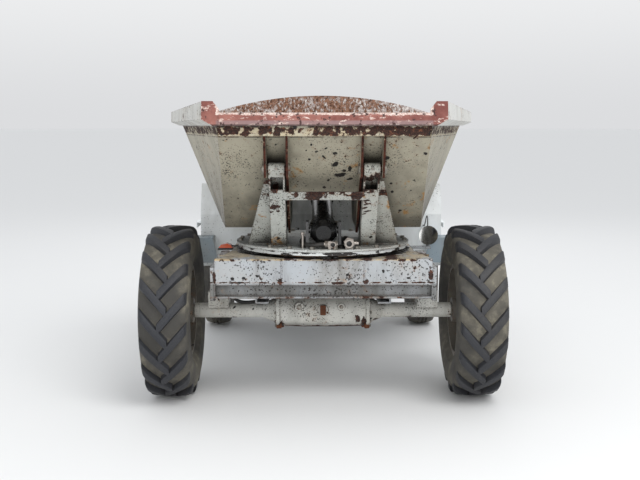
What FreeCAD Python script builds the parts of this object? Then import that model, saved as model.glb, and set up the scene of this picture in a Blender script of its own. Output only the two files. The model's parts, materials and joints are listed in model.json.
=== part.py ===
import FreeCAD, Part
import math
import os

V = FreeCAD.Vector

# A small swivel-skip site dumper. Its front faces -Y, +Z is up and the floor is z = 0.
# Lengths along the machine are given from the front axle, and set out from FRONT_AXLE_Y.

# Stance
LIP_REACH = 620.0
WHEELBASE = 1640.0
TAIL_REACH = WHEELBASE + 470.0
FRONT_TRACK = 1402.0
REAR_TRACK = 1290.0
FRONT_AXLE_Y = (LIP_REACH - TAIL_REACH) / 2
REAR_AXLE_Y = FRONT_AXLE_Y + WHEELBASE

# Running and seating clearances
RUNNING = 0.3
MOVING_GAP = 6.0

# Front tyres: narrow, with two staggered rows of slanted lugs
FRONT_TYRE_R = 400.0
FRONT_TYRE_W = 228.0
FRONT_LUG_H = 24.0
FRONT_LUG_COUNT = 17
FRONT_LUG_W = 50.0
FRONT_LUG_START = -0.18
FRONT_LUG_LEAD_DEG = 19.4
FRONT_RIM_R = 203.0
FRONT_RIM_HALF = 76.0
FRONT_TYRE_SIDES = 2 * FRONT_LUG_COUNT

# Rear tyres: smaller and smooth
REAR_TYRE_R = 320.0
REAR_TYRE_W = 165.0
REAR_RIM_R = 165.0
REAR_RIM_HALF = 56.0
RIM_WALL = 6.0
RIM_FLANGE = 17.0
TYRE_WALL = 16.0
REAR_TYRE_SIDES = 40

# Wheel hubs, measured from the wheel's centre plane
HUB_R = 58.0
FRONT_HUB_IN = 94.0
REAR_HUB_IN = 62.0
HUB_OUT = 50.0
DISC_OFFSET = 16.0
DISC_T = 8.0
FRONT_STUB_R = 28.0
REAR_STUB_R = 20.0

# Front axle
AXLE_TUBE_R = 35.0
HOUSING_R = 78.0
HOUSING_HALF = 200.0
HOUSING_FLANGE_R = 83.0
HOUSING_FLANGE_T = 18.0
CONE_LENGTH = 62.0
CONE_R = 60.0
PINION_R = 48.0
PINION_REACH = 210.0

# Front frame beam, between the front wheels
WHEEL_ROOM = 88.0
END_PLATE_T = 20.0
BEAM_HALF = (FRONT_TRACK - FRONT_TYRE_W) / 2 - WHEEL_ROOM - END_PLATE_T
BEAM_FRONT = -290.0
BEAM_TOP = 683.0
BEAM_FACE_FOOT = 575.0
BEAM_BOTTOM = 508.0
BEAM_INSET = 28.0
BEAM_DEPTH = 150.0
PLATE_T = 10.0
TOP_PLATE_BACK_HALF = BEAM_HALF - 54.0
FRAME_BACK = 520.0
END_PLATE_TOP = 645.0
END_PLATE_BACK = 70.0
END_BLOCK_T = 38.0
END_PLATE_LOW = 495.0
SADDLE_HALF = 48.0
SADDLE_LOW = 18.0

# Chassis rails
RAIL_IN = 250.0
RAIL_OUT = 310.0
RAIL_TOP = 545.0
RAIL_LOW = 455.0
CROSS_MEMBER = 60.0
RAIL_WALL = 8.0
RAIL_END = TAIL_REACH - 60.0
HANGER_REACH = 72.0
HANGER_T = 18.0
AXLE_PIN_R = 18.0

# Slewing ring and turntable
SLEW_BACK = 90.0
RING_R = 380.0
RING_BORE_R = 280.0
TURNTABLE_R = 407.0
TURNTABLE_LOW = 698.0
TURNTABLE_TOP = 725.0
TURNTABLE_T = 11.0
TURNTABLE_STEP = 7.0
TURNTABLE_BORE_R = 70.0

# Skip outline: half widths, distance from the front axle and height
SKIP_TOP = 1262.0
SKIP_FLOOR = 800.0
SKIP_T = 5.0
LIP_HALF = 430.0
LIP_Y = -600.0
FLOOR_FRONT_HALF = 447.0
FLOOR_FRONT_Y = -80.0
FLOOR_BACK_HALF = 500.0
FLOOR_BACK_Y = 300.0
WIDE_HALF = 727.0
WIDE_Y = 620.0
TUNNEL_HALF = 148.0
TUNNEL_TOP = 955.0
ARCH_HALF = 545.0
ARCH_FOOT = 1335.0
ARCH_TOP = 1417.0
FLANGE_LOW = 1221.0

# Tipping pivot, hinge plates and posts
PIVOT_Y = -475.0
PIVOT_Z = 1085.0
PIN_R = 15.0
BOSS_R = 26.0
RIB_T = 10.0
POST_W = 68.0
POST_WALL = 8.0
POST_FOOT_FRONT = -180.0
POST_FOOT_BACK = -3.0
GUSSET_FOOT_HALF = 342.0
GUSSET_TOP = 1035.0
CROSS_LOW = 948.0
CROSS_TOP = 986.0
CROSS_T = 13.0
WINDOW_LOW = 962.0
WINDOW_TOP = 1050.0

# Tipping ram
RAM_BASE_Y = -200.0
RAM_BASE_Z = 800.0
RAM_REST_DEG = 8.0
RAM_LENGTH = 755.0
BARREL_R = 50.0
BARREL_BORE = 42.0
BARREL_END = 640.0
BASE_CAP_R = 57.0
BASE_CAP_END = 96.0
BASE_CAP_NOSE = 57.0
ROD_R = 22.0
EYE_R = 34.0
EYE_HALF = 38.0
BASE_LUG_IN = 66.0
BASE_LUG_T = 12.0

# Body behind the skip
SCUTTLE_HALF = 655.0
SCUTTLE_Y = 750.0
SCUTTLE_LOW = 500.0
SCUTTLE_KNEE = 782.0
SCUTTLE_TOP = 946.0
SCUTTLE_LEAN = 75.0
SHEET = 6.0
FLOOR_Z = RAIL_TOP
TANK_IN = 400.0
TANK_OUT = SCUTTLE_HALF - 20.0
TANK_END = WHEELBASE - 440.0
TANK_LOW = 500.0
TANK_TOP = 770.0
TANK_WALL = 4.0
BONNET_HALF = 355.0
BONNET_FRONT = WHEELBASE - 220.0
BONNET_BACK = RAIL_END - 10.0
BONNET_LOW = FLOOR_Z + SHEET + RUNNING
BONNET_TOP = 900.0
FLOOR_END = BONNET_FRONT + 20.0

# Steps ahead of the scuttle, and guards over the rear wheels
STEP_START = 620.0
STEP_FOOT_IN = 547.0
STEP_IN = 580.0
STEP_OUT = 700.0
STEP_LOW = 535.0
STEP_TOP = 669.0
FENDER_OUT = 735.0
FENDER_TOP = 690.0
FENDER_LIP = 30.0

# Tail weight, its drawbar clevis and the bonnet's hinge on it
WEIGHT_LOW = 400.0
WEIGHT_TOP = 590.0
TOW_PIN_R = 13.0
TOW_PIN_BACK = TAIL_REACH - 32.0
SLOT_HALF = 45.0
SLOT_DEPTH = 60.0
SLOT_LOW = 440.0
SLOT_TOP = 500.0
BONNET_HINGE_Y = RAIL_END + 14.0
BONNET_HINGE_Z = WEIGHT_TOP + 16.0
BONNET_LUG_X = 275.0
BONNET_PIN_R = 7.0

# Engine, gearbox and exhaust
ENGINE_HALF = 190.0
ENGINE_START = WHEELBASE - 110.0
ENGINE_END = RAIL_END - 100.0
ENGINE_TOP = BONNET_TOP - 80.0
GEARBOX_HALF = 110.0
GEARBOX_START = ENGINE_START - 350.0
GEARBOX_LOW = 340.0
SHAFT_R = 24.0
SHAFT_FLANGE_R = 44.0
SILENCER_R = 46.0
SILENCER_X = -252.0
SILENCER_Z = 700.0
TAIL_PIPE_R = 19.0
TAIL_PIPE_X = -222.0

# Driver's place
SEAT_Y = BONNET_FRONT + 80.0
COLUMN_FOOT_Y = SCUTTLE_Y + 150.0
COLUMN_FOOT_Z = 600.0
COLUMN_HEAD_Y = SEAT_Y - 300.0
COLUMN_HEAD_Z = 1080.0
COLUMN_R = 24.0
WHEEL_R = 175.0
WHEEL_RING_R = 13.0
LEVER_TOP = 900.0
CUSHION_TOP = BONNET_TOP + 120.0
BACKREST_TOP = BONNET_TOP + 400.0

# Lamps
LAMP_X = BEAM_HALF + 69.0
LAMP_Y = 440.0
LAMP_Z = 702.0
LAMP_R = 46.0
LAMP_GLASS_R = 41.0
INDICATOR_Y = 90.0

# Rear axle and steering
KINGPIN_X = REAR_TRACK / 2 - 145.0
KINGPIN_R = 16.0
AXLE_BEAM = 80.0
AXLE_BOSS_R = 38.0
AXLE_BOSS_HALF = 48.0
EAR_T = 18.0
ARM_LENGTH = 150.0
TIE_ROD_R = 14.0


def along(distance):
    """Row Y of a distance behind the front axle."""
    return FRONT_AXLE_Y + distance


def box(x0, x1, y0, y1, z0, z1):
    return Part.makeBox(x1 - x0, y1 - y0, z1 - z0, V(x0, y0, z0))


def prism_x(yz, x0, x1):
    """A (y, z) outline drawn out along X."""
    corners = [V(x0, y, z) for y, z in yz]
    return Part.Face(Part.makePolygon(corners + corners[:1])).extrude(V(x1 - x0, 0, 0))


def prism_y(xz, y0, y1):
    """An (x, z) outline drawn out along Y."""
    corners = [V(x, y0, z) for x, z in xz]
    return Part.Face(Part.makePolygon(corners + corners[:1])).extrude(V(0, y1 - y0, 0))


def prism_z(xy, z0, z1):
    """An (x, y) outline drawn out along Z."""
    corners = [V(x, y, z0) for x, y in xy]
    return Part.Face(Part.makePolygon(corners + corners[:1])).extrude(V(0, 0, z1 - z0))


def rod_x(r, x0, x1, y, z):
    return Part.makeCylinder(r, x1 - x0, V(x0, y, z), V(1, 0, 0))


def rod_y(r, y0, y1, x, z):
    return Part.makeCylinder(r, y1 - y0, V(x, y0, z), V(0, 1, 0))


def rod_z(r, z0, z1, x, y):
    return Part.makeCylinder(r, z1 - z0, V(x, y, z0), V(0, 0, 1))


def fuse(shapes):
    """One solid from touching or overlapping pieces."""
    whole = shapes[0].multiFuse(shapes[1:])
    return whole.removeSplitter()


def mirrored(shape):
    return shape.mirror(V(0, 0, 0), V(1, 0, 0))


def pair(shape):
    """A piece on +X and its mirror image on -X."""
    return Part.makeCompound([shape, mirrored(shape)])


def revolved(outline, x, y, z, side):
    """Turn an outline about the X axis through (x, y, z).

    Each outline entry is (u, r), reached by a line, or (u, r, um, rm), reached by an arc through (um, rm).
    u runs along X away from the machine on the given side, and r is the distance from the axis.
    """
    def place(u, r):
        return V(x + side * u, y, z - r)

    edges = []
    for start, end in zip(outline, outline[1:] + outline[:1]):
        first = place(*start[:2])
        last = place(*end[:2])
        if len(end) == 4:
            edges.append(Part.Arc(first, place(*end[2:]), last).toShape())
        else:
            edges.append(Part.LineSegment(first, last).toShape())
    face = Part.Face(Part.Wire(edges))
    return face.revolve(V(x, y, z), V(1, 0, 0), 360)


def faceted(outline, sides, x, y, z, side):
    """Turn an outline of (u, r) points about the X axis in flat facets, with a corner straight below."""
    rings = []
    for index in range(sides):
        angle = 2 * math.pi * index / sides
        rings.append([V(x + side * u, y - r * math.sin(angle), z - r * math.cos(angle)) for u, r in outline])
    faces = []
    for ring, after in zip(rings, rings[1:] + rings[:1]):
        for k in range(len(outline)):
            faces.append(flat_face([ring[k - 1], ring[k], after[k], after[k - 1]]))
    solid = Part.Solid(Part.Shell(faces))
    if solid.Volume < 0:
        solid.reverse()
    return solid


def tyre_carcass(radius, width, rim_r, rim_half, sides, x, y, z, side):
    """A hollow tyre, open between its beads where the rim closes it."""
    half = width / 2
    shoulder = radius - 0.05 * width
    waist = (radius + rim_r) / 2
    corner = 1 / math.cos(math.pi / sides)
    lip = (rim_r + RIM_FLANGE + RUNNING) * corner
    inner = half - TYRE_WALL
    bead = (rim_r + RUNNING) * corner
    outside = [
        (rim_half, bead), (rim_half, lip), (0.97 * half, waist - 22), (half, waist),
        (0.97 * half, waist + 30), (0.85 * half, shoulder), (0.4 * half, radius),
    ]
    inside = [
        (0.8 * inner, shoulder - TYRE_WALL), (inner, waist), (rim_half - TYRE_WALL, lip),
        (rim_half - TYRE_WALL, bead),
    ]
    outline = outside + [(-u, r) for u, r in reversed(outside)]
    outline += [(-u, r) for u, r in reversed(inside)] + inside
    return faceted(outline, sides, x, y, z, side)


def lug(x, y, side, row, angle):
    """One slanted tread bar, from just past the centre line out over the shoulder."""
    carcass = FRONT_TYRE_R - FRONT_LUG_H
    half = FRONT_TYRE_W / 2
    # columns: share of the half width, outer radius, inner radius
    stations = [
        (FRONT_LUG_START, FRONT_TYRE_R, carcass - 8),
        (0.50, FRONT_TYRE_R - 2, carcass - 10),
        (0.80, FRONT_TYRE_R - 8, carcass - 18),
        (0.91, FRONT_TYRE_R - 24, carcass - 42),
    ]
    wires = []
    for share, outer, inner in stations:
        u = row * share * half
        turn = angle + math.radians(FRONT_LUG_LEAD_DEG) * share
        top = FRONT_LUG_W / 2 / outer
        foot = (FRONT_LUG_W / 2 + 4) / inner
        corners = [(inner, turn - foot), (outer, turn - top), (outer, turn + top), (inner, turn + foot)]
        points = []
        for r, a in corners:
            points.append(V(x + side * u, y - r * math.sin(a), FRONT_TYRE_R - r * math.cos(a)))
        wires.append(Part.makePolygon(points + points[:1]))
    return Part.makeLoft(wires, True, True)


def front_tyre(side):
    """The lugged tyre: both rows rise outwards on the side that faces forwards."""
    x = side * FRONT_TRACK / 2
    carcass = tyre_carcass(FRONT_TYRE_R - FRONT_LUG_H, FRONT_TYRE_W, FRONT_RIM_R, FRONT_RIM_HALF,
                           FRONT_TYRE_SIDES, x, FRONT_AXLE_Y, FRONT_TYRE_R, side)
    pitch = 2 * math.pi / FRONT_LUG_COUNT
    first = FRONT_LUG_W / 2 / FRONT_TYRE_R - FRONT_LUG_START * math.radians(FRONT_LUG_LEAD_DEG)
    lugs = []
    for index in range(FRONT_LUG_COUNT):
        for row, stagger in ((1, 0.5), (-1, 0.0)):
            lugs.append(lug(x, FRONT_AXLE_Y, side, row, first + (index + stagger) * pitch))
    return carcass.multiFuse(lugs)


def rim(radius, half, hub_in, stub_r, x, y, z, side):
    """Well, side flanges, disc and hub of one wheel, with a blind bore for its stub axle."""
    flange = radius + RIM_FLANGE
    well = [
        (-half, radius), (half, radius), (half, flange), (half + RIM_WALL, flange),
        (half + RIM_WALL, radius - RIM_WALL), (-half - RIM_WALL, radius - RIM_WALL),
        (-half - RIM_WALL, flange), (-half, flange),
    ]
    disc = [
        (DISC_OFFSET, 0), (DISC_OFFSET, radius * 0.62), (DISC_OFFSET - 22, radius * 0.74),
        (DISC_OFFSET - 22, radius - RIM_WALL / 2), (DISC_OFFSET - 22 + DISC_T, radius - RIM_WALL / 2),
        (DISC_OFFSET - 22 + DISC_T, radius * 0.76), (DISC_OFFSET + DISC_T, radius * 0.64),
        (DISC_OFFSET + DISC_T, 0),
    ]
    hub = [
        (-hub_in, 0), (-hub_in, HUB_R), (DISC_OFFSET + 14, HUB_R), (HUB_OUT - 8, HUB_R * 0.62),
        (HUB_OUT, HUB_R * 0.5), (HUB_OUT, 0),
    ]
    bore = [(-hub_in, 0), (-hub_in, stub_r + RUNNING), (DISC_OFFSET, stub_r + RUNNING), (DISC_OFFSET, 0)]
    whole = fuse([revolved(shape, x, y, z, side) for shape in (well, disc, hub)])
    return whole.cut(revolved(bore, x, y, z, side))


def front_axle():
    """Differential housing, cones, tubes and the stubs that the front hubs run on."""
    inner = HOUSING_HALF + HOUSING_FLANGE_T
    cone_end = inner + CONE_LENGTH
    tube_end = FRONT_TRACK / 2 - FRONT_HUB_IN - MOVING_GAP
    stub_end = FRONT_TRACK / 2 + DISC_OFFSET - RUNNING * 4
    outline = [
        (0, 0), (0, HOUSING_R), (HOUSING_HALF * 0.5, HOUSING_R), (HOUSING_HALF, HOUSING_R - 4),
        (HOUSING_HALF, HOUSING_FLANGE_R), (inner, HOUSING_FLANGE_R), (inner, CONE_R),
        (cone_end, AXLE_TUBE_R), (tube_end, AXLE_TUBE_R), (tube_end, FRONT_STUB_R),
        (stub_end, FRONT_STUB_R), (stub_end, 0),
    ]
    halves = [revolved(outline, 0, FRONT_AXLE_Y, FRONT_TYRE_R, side) for side in (1, -1)]
    nose = rod_y(PINION_R, FRONT_AXLE_Y, along(PINION_REACH), 0, FRONT_TYRE_R)
    ribs = []
    for x in (-60, 60):
        ribs.append(box(x - 5, x + 5, along(-40), along(40), FRONT_TYRE_R + 50, END_PLATE_LOW - MOVING_GAP))
    bosses = []
    # columns: distance across, height above the axle's centre, radius
    for x, rise, r in ((-110, 28, 22), (0, 14, 25), (85, 28, 17)):
        bosses.append(rod_y(r, along(-HOUSING_R - 3), FRONT_AXLE_Y, x, FRONT_TYRE_R + rise))
    return fuse(halves + [nose] + ribs + bosses)


def axle_clamps():
    """Saddles between the axle tubes and the frame's end plates, seated on the tops of the tubes."""
    x0, x1 = BEAM_HALF - 40, BEAM_HALF + 56
    saddle = box(x0, x1, along(-SADDLE_HALF), along(SADDLE_HALF), FRONT_TYRE_R + SADDLE_LOW, END_PLATE_LOW)
    return pair(saddle.cut(rod_x(AXLE_TUBE_R, x0, x1, FRONT_AXLE_Y, FRONT_TYRE_R)))


def front_frame():
    """The wide beam across the front, its top plate, webs and end plates."""
    front = along(BEAM_FRONT)
    back = along(BEAM_FRONT + BEAM_DEPTH)
    top = prism_z([(-BEAM_HALF, front), (BEAM_HALF, front), (TOP_PLATE_BACK_HALF, along(-20)),
                   (TOP_PLATE_BACK_HALF, along(FRAME_BACK)), (-TOP_PLATE_BACK_HALF, along(FRAME_BACK)),
                   (-TOP_PLATE_BACK_HALF, along(-20))], BEAM_TOP - PLATE_T, BEAM_TOP)
    face = box(-BEAM_HALF, BEAM_HALF, front, front + PLATE_T, BEAM_FACE_FOOT, BEAM_TOP)
    shelf = box(-BEAM_HALF, BEAM_HALF, front, front + BEAM_INSET + PLATE_T,
                BEAM_FACE_FOOT - PLATE_T, BEAM_FACE_FOOT)
    channel = box(-BEAM_HALF, BEAM_HALF, front + BEAM_INSET, front + BEAM_INSET + PLATE_T,
                  BEAM_BOTTOM, BEAM_FACE_FOOT)
    foot = box(-BEAM_HALF, BEAM_HALF, front, back, BEAM_BOTTOM - PLATE_T + 8, BEAM_BOTTOM + 8)
    web = box(-BEAM_HALF, BEAM_HALF, back - PLATE_T, back, BEAM_BOTTOM, BEAM_TOP)
    pieces = [top, face, shelf, channel, foot, web]
    for side in (1, -1):
        inner = BEAM_HALF if side > 0 else -BEAM_HALF - END_PLATE_T
        pieces.append(box(inner, inner + END_PLATE_T, front + 4, along(END_PLATE_BACK),
                          END_PLATE_LOW, END_PLATE_TOP))
        low = RAIL_OUT if side > 0 else -RAIL_OUT - PLATE_T
        pieces.append(box(low, low + PLATE_T, back, along(FRAME_BACK), BEAM_BOTTOM, BEAM_TOP))
        low = BEAM_HALF - END_BLOCK_T if side > 0 else -BEAM_HALF
        pieces.append(box(low, low + END_BLOCK_T, back, along(END_PLATE_BACK),
                          END_PLATE_LOW, BEAM_TOP - PLATE_T))
    return fuse(pieces)


def slew_ring():
    ring = rod_z(RING_R, BEAM_TOP, TURNTABLE_LOW - RUNNING, 0, along(SLEW_BACK))
    return ring.cut(rod_z(RING_BORE_R, BEAM_TOP, TURNTABLE_LOW, 0, along(SLEW_BACK)))


def chassis_rails():
    """Two channel rails with cross members, and the hanger that the rear axle swings in."""
    start = along(BEAM_FRONT + BEAM_DEPTH)
    pieces = []
    for side in (1, -1):
        low, high = (RAIL_IN, RAIL_OUT) if side > 0 else (-RAIL_OUT, -RAIL_IN)
        rail = box(low, high, start, along(RAIL_END), RAIL_LOW, RAIL_TOP)
        hollow_low = low if side > 0 else low + RAIL_WALL
        hollow = box(hollow_low, hollow_low + RAIL_OUT - RAIL_IN - RAIL_WALL, start, along(RAIL_END),
                     RAIL_LOW + RAIL_WALL, RAIL_TOP - RAIL_WALL)
        pieces.append(rail.cut(hollow))
    for place in (FRAME_BACK - 60, WHEELBASE - 90, WHEELBASE + 50, RAIL_END - 40):
        pieces.append(box(-RAIL_OUT, RAIL_OUT, along(place), along(place + 40),
                          RAIL_LOW, RAIL_LOW + CROSS_MEMBER))
    for place in (WHEELBASE - HANGER_REACH, WHEELBASE + HANGER_REACH - HANGER_T):
        pieces.append(box(-70, 70, along(place), along(place + HANGER_T), REAR_TYRE_R - 40, RAIL_LOW))
    pin = rod_y(AXLE_PIN_R, along(WHEELBASE - HANGER_REACH), along(WHEELBASE + HANGER_REACH), 0, REAR_TYRE_R)
    return fuse(pieces + [pin])


def rear_axle():
    """Beam with a swinging boss at its middle and a kingpin boss at each end."""
    y = REAR_AXLE_Y
    z = REAR_TYRE_R
    half = AXLE_BEAM / 2
    inner = KINGPIN_X - AXLE_BOSS_R
    beam = box(-inner - 8, inner + 8, y - half, y + half, z - half, z + half)
    low, high = z - AXLE_BOSS_HALF, z + AXLE_BOSS_HALF
    bosses = [rod_z(AXLE_BOSS_R, low, high, side * KINGPIN_X, y) for side in (1, -1)]
    swing = HANGER_REACH - HANGER_T - 1.0
    middle = rod_y(AXLE_PIN_R + 28, y - swing, y + swing, 0, z)
    whole = fuse([beam, middle] + bosses)
    for side in (1, -1):
        whole = whole.cut(rod_z(KINGPIN_R + RUNNING, z - 80, z + 80, side * KINGPIN_X, y))
    return whole.cut(rod_y(AXLE_PIN_R + RUNNING, y - HANGER_REACH, y + HANGER_REACH, 0, z))


def knuckle(side):
    """Forked bracket on the kingpin, with the stub axle and the steering arm."""
    x = side * KINGPIN_X
    y = REAR_AXLE_Y
    z = REAR_TYRE_R
    gap = AXLE_BOSS_HALF + 1.0
    back = REAR_TRACK / 2 - REAR_HUB_IN - MOVING_GAP
    outer = AXLE_BOSS_R + 4

    def across(a, b):
        return (side * a, side * b) if side > 0 else (side * b, side * a)

    pieces = [rod_z(KINGPIN_R, z - gap - EAR_T, z + gap + EAR_T, x, y)]
    for low in (z - gap - EAR_T, z + gap):
        pieces.append(rod_z(AXLE_BOSS_R - 6, low, low + EAR_T, x, y))
        x0, x1 = across(KINGPIN_X, back)
        pieces.append(box(x0, x1, y - 30, y + 30, low, low + EAR_T))
    x0, x1 = across(KINGPIN_X + outer, back)
    pieces.append(box(x0, x1, y - 42, y + 42, z - gap - EAR_T, z + gap + EAR_T))
    x0, x1 = across(back, REAR_TRACK / 2 + DISC_OFFSET - RUNNING * 4)
    pieces.append(rod_x(REAR_STUB_R, x0, x1, y, z))
    low = z - gap - EAR_T
    x0, x1 = across(KINGPIN_X - 18, KINGPIN_X + 18)
    pieces.append(box(x0, x1, y, y + ARM_LENGTH, low, low + EAR_T))
    pieces.append(rod_z(22, low, low + EAR_T, x, y + ARM_LENGTH))
    pieces.append(rod_z(9, low, low + EAR_T + 26, x, y + ARM_LENGTH))
    return fuse(pieces)


def tie_rod():
    """Rod between the two steering arms, with an eye over each arm's pin."""
    y = REAR_AXLE_Y + ARM_LENGTH
    low = REAR_TYRE_R - AXLE_BOSS_HALF - 1.0 + RUNNING
    z = low + 11
    pieces = [rod_x(TIE_ROD_R - 4, -KINGPIN_X + 10, KINGPIN_X - 10, y, z)]
    for side in (1, -1):
        pieces.append(rod_z(21, low, low + 22, side * KINGPIN_X, y))
    whole = fuse(pieces)
    for side in (1, -1):
        whole = whole.cut(rod_z(9 + RUNNING, low - 1, low + 40, side * KINGPIN_X, y))
    return whole


def driveline():
    """Gearbox under the floor and the shaft forward to the front axle."""
    shaft = rod_y(SHAFT_R, along(PINION_REACH), along(GEARBOX_START), 0, FRONT_TYRE_R)
    flange = rod_y(SHAFT_FLANGE_R, along(PINION_REACH), along(PINION_REACH + 22), 0, FRONT_TYRE_R)
    gearbox = box(-GEARBOX_HALF, GEARBOX_HALF, along(GEARBOX_START), along(ENGINE_START),
                  GEARBOX_LOW, FLOOR_Z - 10)
    return fuse([shaft, flange, gearbox])


def engine():
    return box(-ENGINE_HALF, ENGINE_HALF, along(ENGINE_START), along(ENGINE_END),
               RAIL_LOW + CROSS_MEMBER, ENGINE_TOP)


def scuttle_panel():
    """Folded sheet ahead of the driver's feet: an upright face and a leaning upper face."""
    y = along(SCUTTLE_Y)
    profile = [
        (y, SCUTTLE_LOW), (y, SCUTTLE_KNEE), (y + SCUTTLE_LEAN, SCUTTLE_TOP),
        (y + SCUTTLE_LEAN + 60, SCUTTLE_TOP), (y + SCUTTLE_LEAN + 60, SCUTTLE_TOP - SHEET),
        (y + SCUTTLE_LEAN + SHEET, SCUTTLE_TOP - SHEET), (y + SHEET, SCUTTLE_KNEE), (y + SHEET, SCUTTLE_LOW),
    ]
    sheet = prism_x(profile, -SCUTTLE_HALF, SCUTTLE_HALF)
    cheek = [(y, TANK_TOP), (y, SCUTTLE_KNEE), (y + SCUTTLE_LEAN, SCUTTLE_TOP),
             (y + SCUTTLE_LEAN + 60, SCUTTLE_TOP), (y + SCUTTLE_LEAN + 60, TANK_TOP)]
    cheeks = [prism_x(cheek, SCUTTLE_HALF - SHEET, SCUTTLE_HALF),
              prism_x(cheek, -SCUTTLE_HALF, SHEET - SCUTTLE_HALF)]
    notch = box(-RAIL_OUT, RAIL_OUT, y - 1, y + SHEET + 1, SCUTTLE_LOW - 1, RAIL_TOP)
    return fuse([sheet] + cheeks).cut(notch)


def footplates():
    """Floor of the driver's place and a chamfered step ahead of it on each side."""
    floor = box(-TANK_IN, TANK_IN, along(SCUTTLE_Y + SHEET), along(FLOOR_END), FLOOR_Z, FLOOR_Z + SHEET)
    outline = [(STEP_FOOT_IN, STEP_LOW), (STEP_IN, STEP_TOP), (STEP_OUT, STEP_TOP), (STEP_OUT, STEP_LOW)]
    start, end = along(STEP_START), along(SCUTTLE_Y)
    face = prism_y(outline, start, start + SHEET)
    tread = box(STEP_IN, STEP_OUT, start, end, STEP_TOP - SHEET, STEP_TOP)
    side = box(STEP_OUT - SHEET, STEP_OUT, start, end, STEP_LOW, STEP_TOP)
    step = fuse([face, tread, side])
    return Part.makeCompound([floor, step, mirrored(step)])


def side_tanks():
    tank = box(TANK_IN, TANK_OUT, along(SCUTTLE_Y + SHEET), along(TANK_END), TANK_LOW, TANK_TOP)
    upright = [edge for edge in tank.Edges if abs(edge.Vertexes[0].Z - edge.Vertexes[1].Z) < 1]
    tank = tank.makeFillet(18, [edge for edge in upright if edge.BoundBox.YLength > 10])
    bounds = tank.BoundBox
    inside = box(bounds.XMin + TANK_WALL, bounds.XMax - TANK_WALL, bounds.YMin + TANK_WALL,
                 bounds.YMax - TANK_WALL, bounds.ZMin + TANK_WALL, bounds.ZMax - TANK_WALL)
    return pair(tank.cut(inside))


def fenders():
    """Guards over the rear wheels, hung from the sides of the engine bay."""
    y0, y1 = along(TANK_END), along(BONNET_BACK - 40)
    inside = BONNET_HALF + MOVING_GAP
    top = box(inside, FENDER_OUT, y0, y1, FENDER_TOP, FENDER_TOP + SHEET)
    front = box(TANK_IN, TANK_OUT, y0, y0 + SHEET, TANK_LOW, FENDER_TOP)
    inner = box(inside, inside + SHEET, y0, y1, FENDER_TOP - FENDER_LIP, FENDER_TOP)
    lip = box(FENDER_OUT - SHEET, FENDER_OUT, y0, y1, FENDER_TOP - FENDER_LIP, FENDER_TOP)
    return pair(fuse([top, front, inner, lip]))


def counterweight():
    """Tail weight between the rails' ends, with the drawbar clevis and its bore."""
    end = along(TAIL_REACH)
    block = box(-BONNET_HALF, BONNET_HALF, along(RAIL_END), end, WEIGHT_LOW, WEIGHT_TOP)
    block = block.cut(box(-SLOT_HALF, SLOT_HALF, end - SLOT_DEPTH, end, SLOT_LOW, SLOT_TOP))
    block = block.cut(rod_z(TOW_PIN_R, WEIGHT_LOW - 10, WEIGHT_TOP + 10, 0, along(TOW_PIN_BACK)))
    hinge_y = along(BONNET_HINGE_Y)
    ears = []
    for side in (1, -1):
        for x in (BONNET_LUG_X - 22, BONNET_LUG_X + 12):
            faces = sorted((side * x, side * (x + 10)))
            ears.append(box(faces[0], faces[1], hinge_y - 12, hinge_y + 12, WEIGHT_TOP, BONNET_HINGE_Z + 12))
        ends = sorted((side * (BONNET_LUG_X - 22), side * (BONNET_LUG_X + 22)))
        ears.append(rod_x(BONNET_PIN_R, ends[0], ends[1], hinge_y, BONNET_HINGE_Z))
    return fuse([block] + ears)


def column_line():
    """Foot and head of the steering column."""
    return V(0, along(COLUMN_FOOT_Y), COLUMN_FOOT_Z), V(0, along(COLUMN_HEAD_Y), COLUMN_HEAD_Z)


def steering_column():
    foot, head = column_line()
    direction = head - foot
    tube = Part.makeCylinder(COLUMN_R, direction.Length, foot, direction)
    base = box(-60, 60, foot.y - 50, foot.y + 60, FLOOR_Z + SHEET, foot.z + 40)
    return fuse([tube, base])


def steering_wheel():
    foot, head = column_line()
    direction = head - foot
    direction.normalize()
    section = []
    for index in range(8):
        angle = math.pi * (index + 0.5) / 4
        section.append((WHEEL_RING_R * math.cos(angle), WHEEL_R + WHEEL_RING_R * math.sin(angle)))
    ring = revolved(section, 34, 0, 0, 1)
    hub = rod_x(30, 0, 38, 0, 0)
    spokes = []
    for angle in (90, 210, 330):
        out = V(0, math.cos(math.radians(angle)), math.sin(math.radians(angle)))
        spokes.append(Part.makeCylinder(8, WHEEL_R - 3, V(28, 0, 0), out))
    wheel = fuse([hub, ring] + spokes)
    wheel.Placement = FreeCAD.Placement(head + direction * RUNNING, FreeCAD.Rotation(V(1, 0, 0), direction))
    return wheel


def controls():
    """Two levers beside the column and two pedals on the floor."""
    floor = FLOOR_Z + SHEET
    lever_y = along(COLUMN_HEAD_Y - 120)
    pedal_y = along(COLUMN_FOOT_Y - 40)
    pieces = []
    for x in (190, 235):
        lever = rod_z(7, floor, LEVER_TOP, x, lever_y)
        grip = Part.makeCone(13, 20, 24, V(x, lever_y, LEVER_TOP - 12))
        crown = Part.makeCone(20, 11, 12, V(x, lever_y, LEVER_TOP + 12))
        pieces.append(fuse([lever, grip, crown]))
    for x in (-150, 150):
        pieces.append(box(x - 40, x + 40, pedal_y, pedal_y + 100, floor, floor + 50))
    return Part.makeCompound(pieces)


def lamp_centre():
    return V(LAMP_X, along(LAMP_Y), LAMP_Z)


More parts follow.
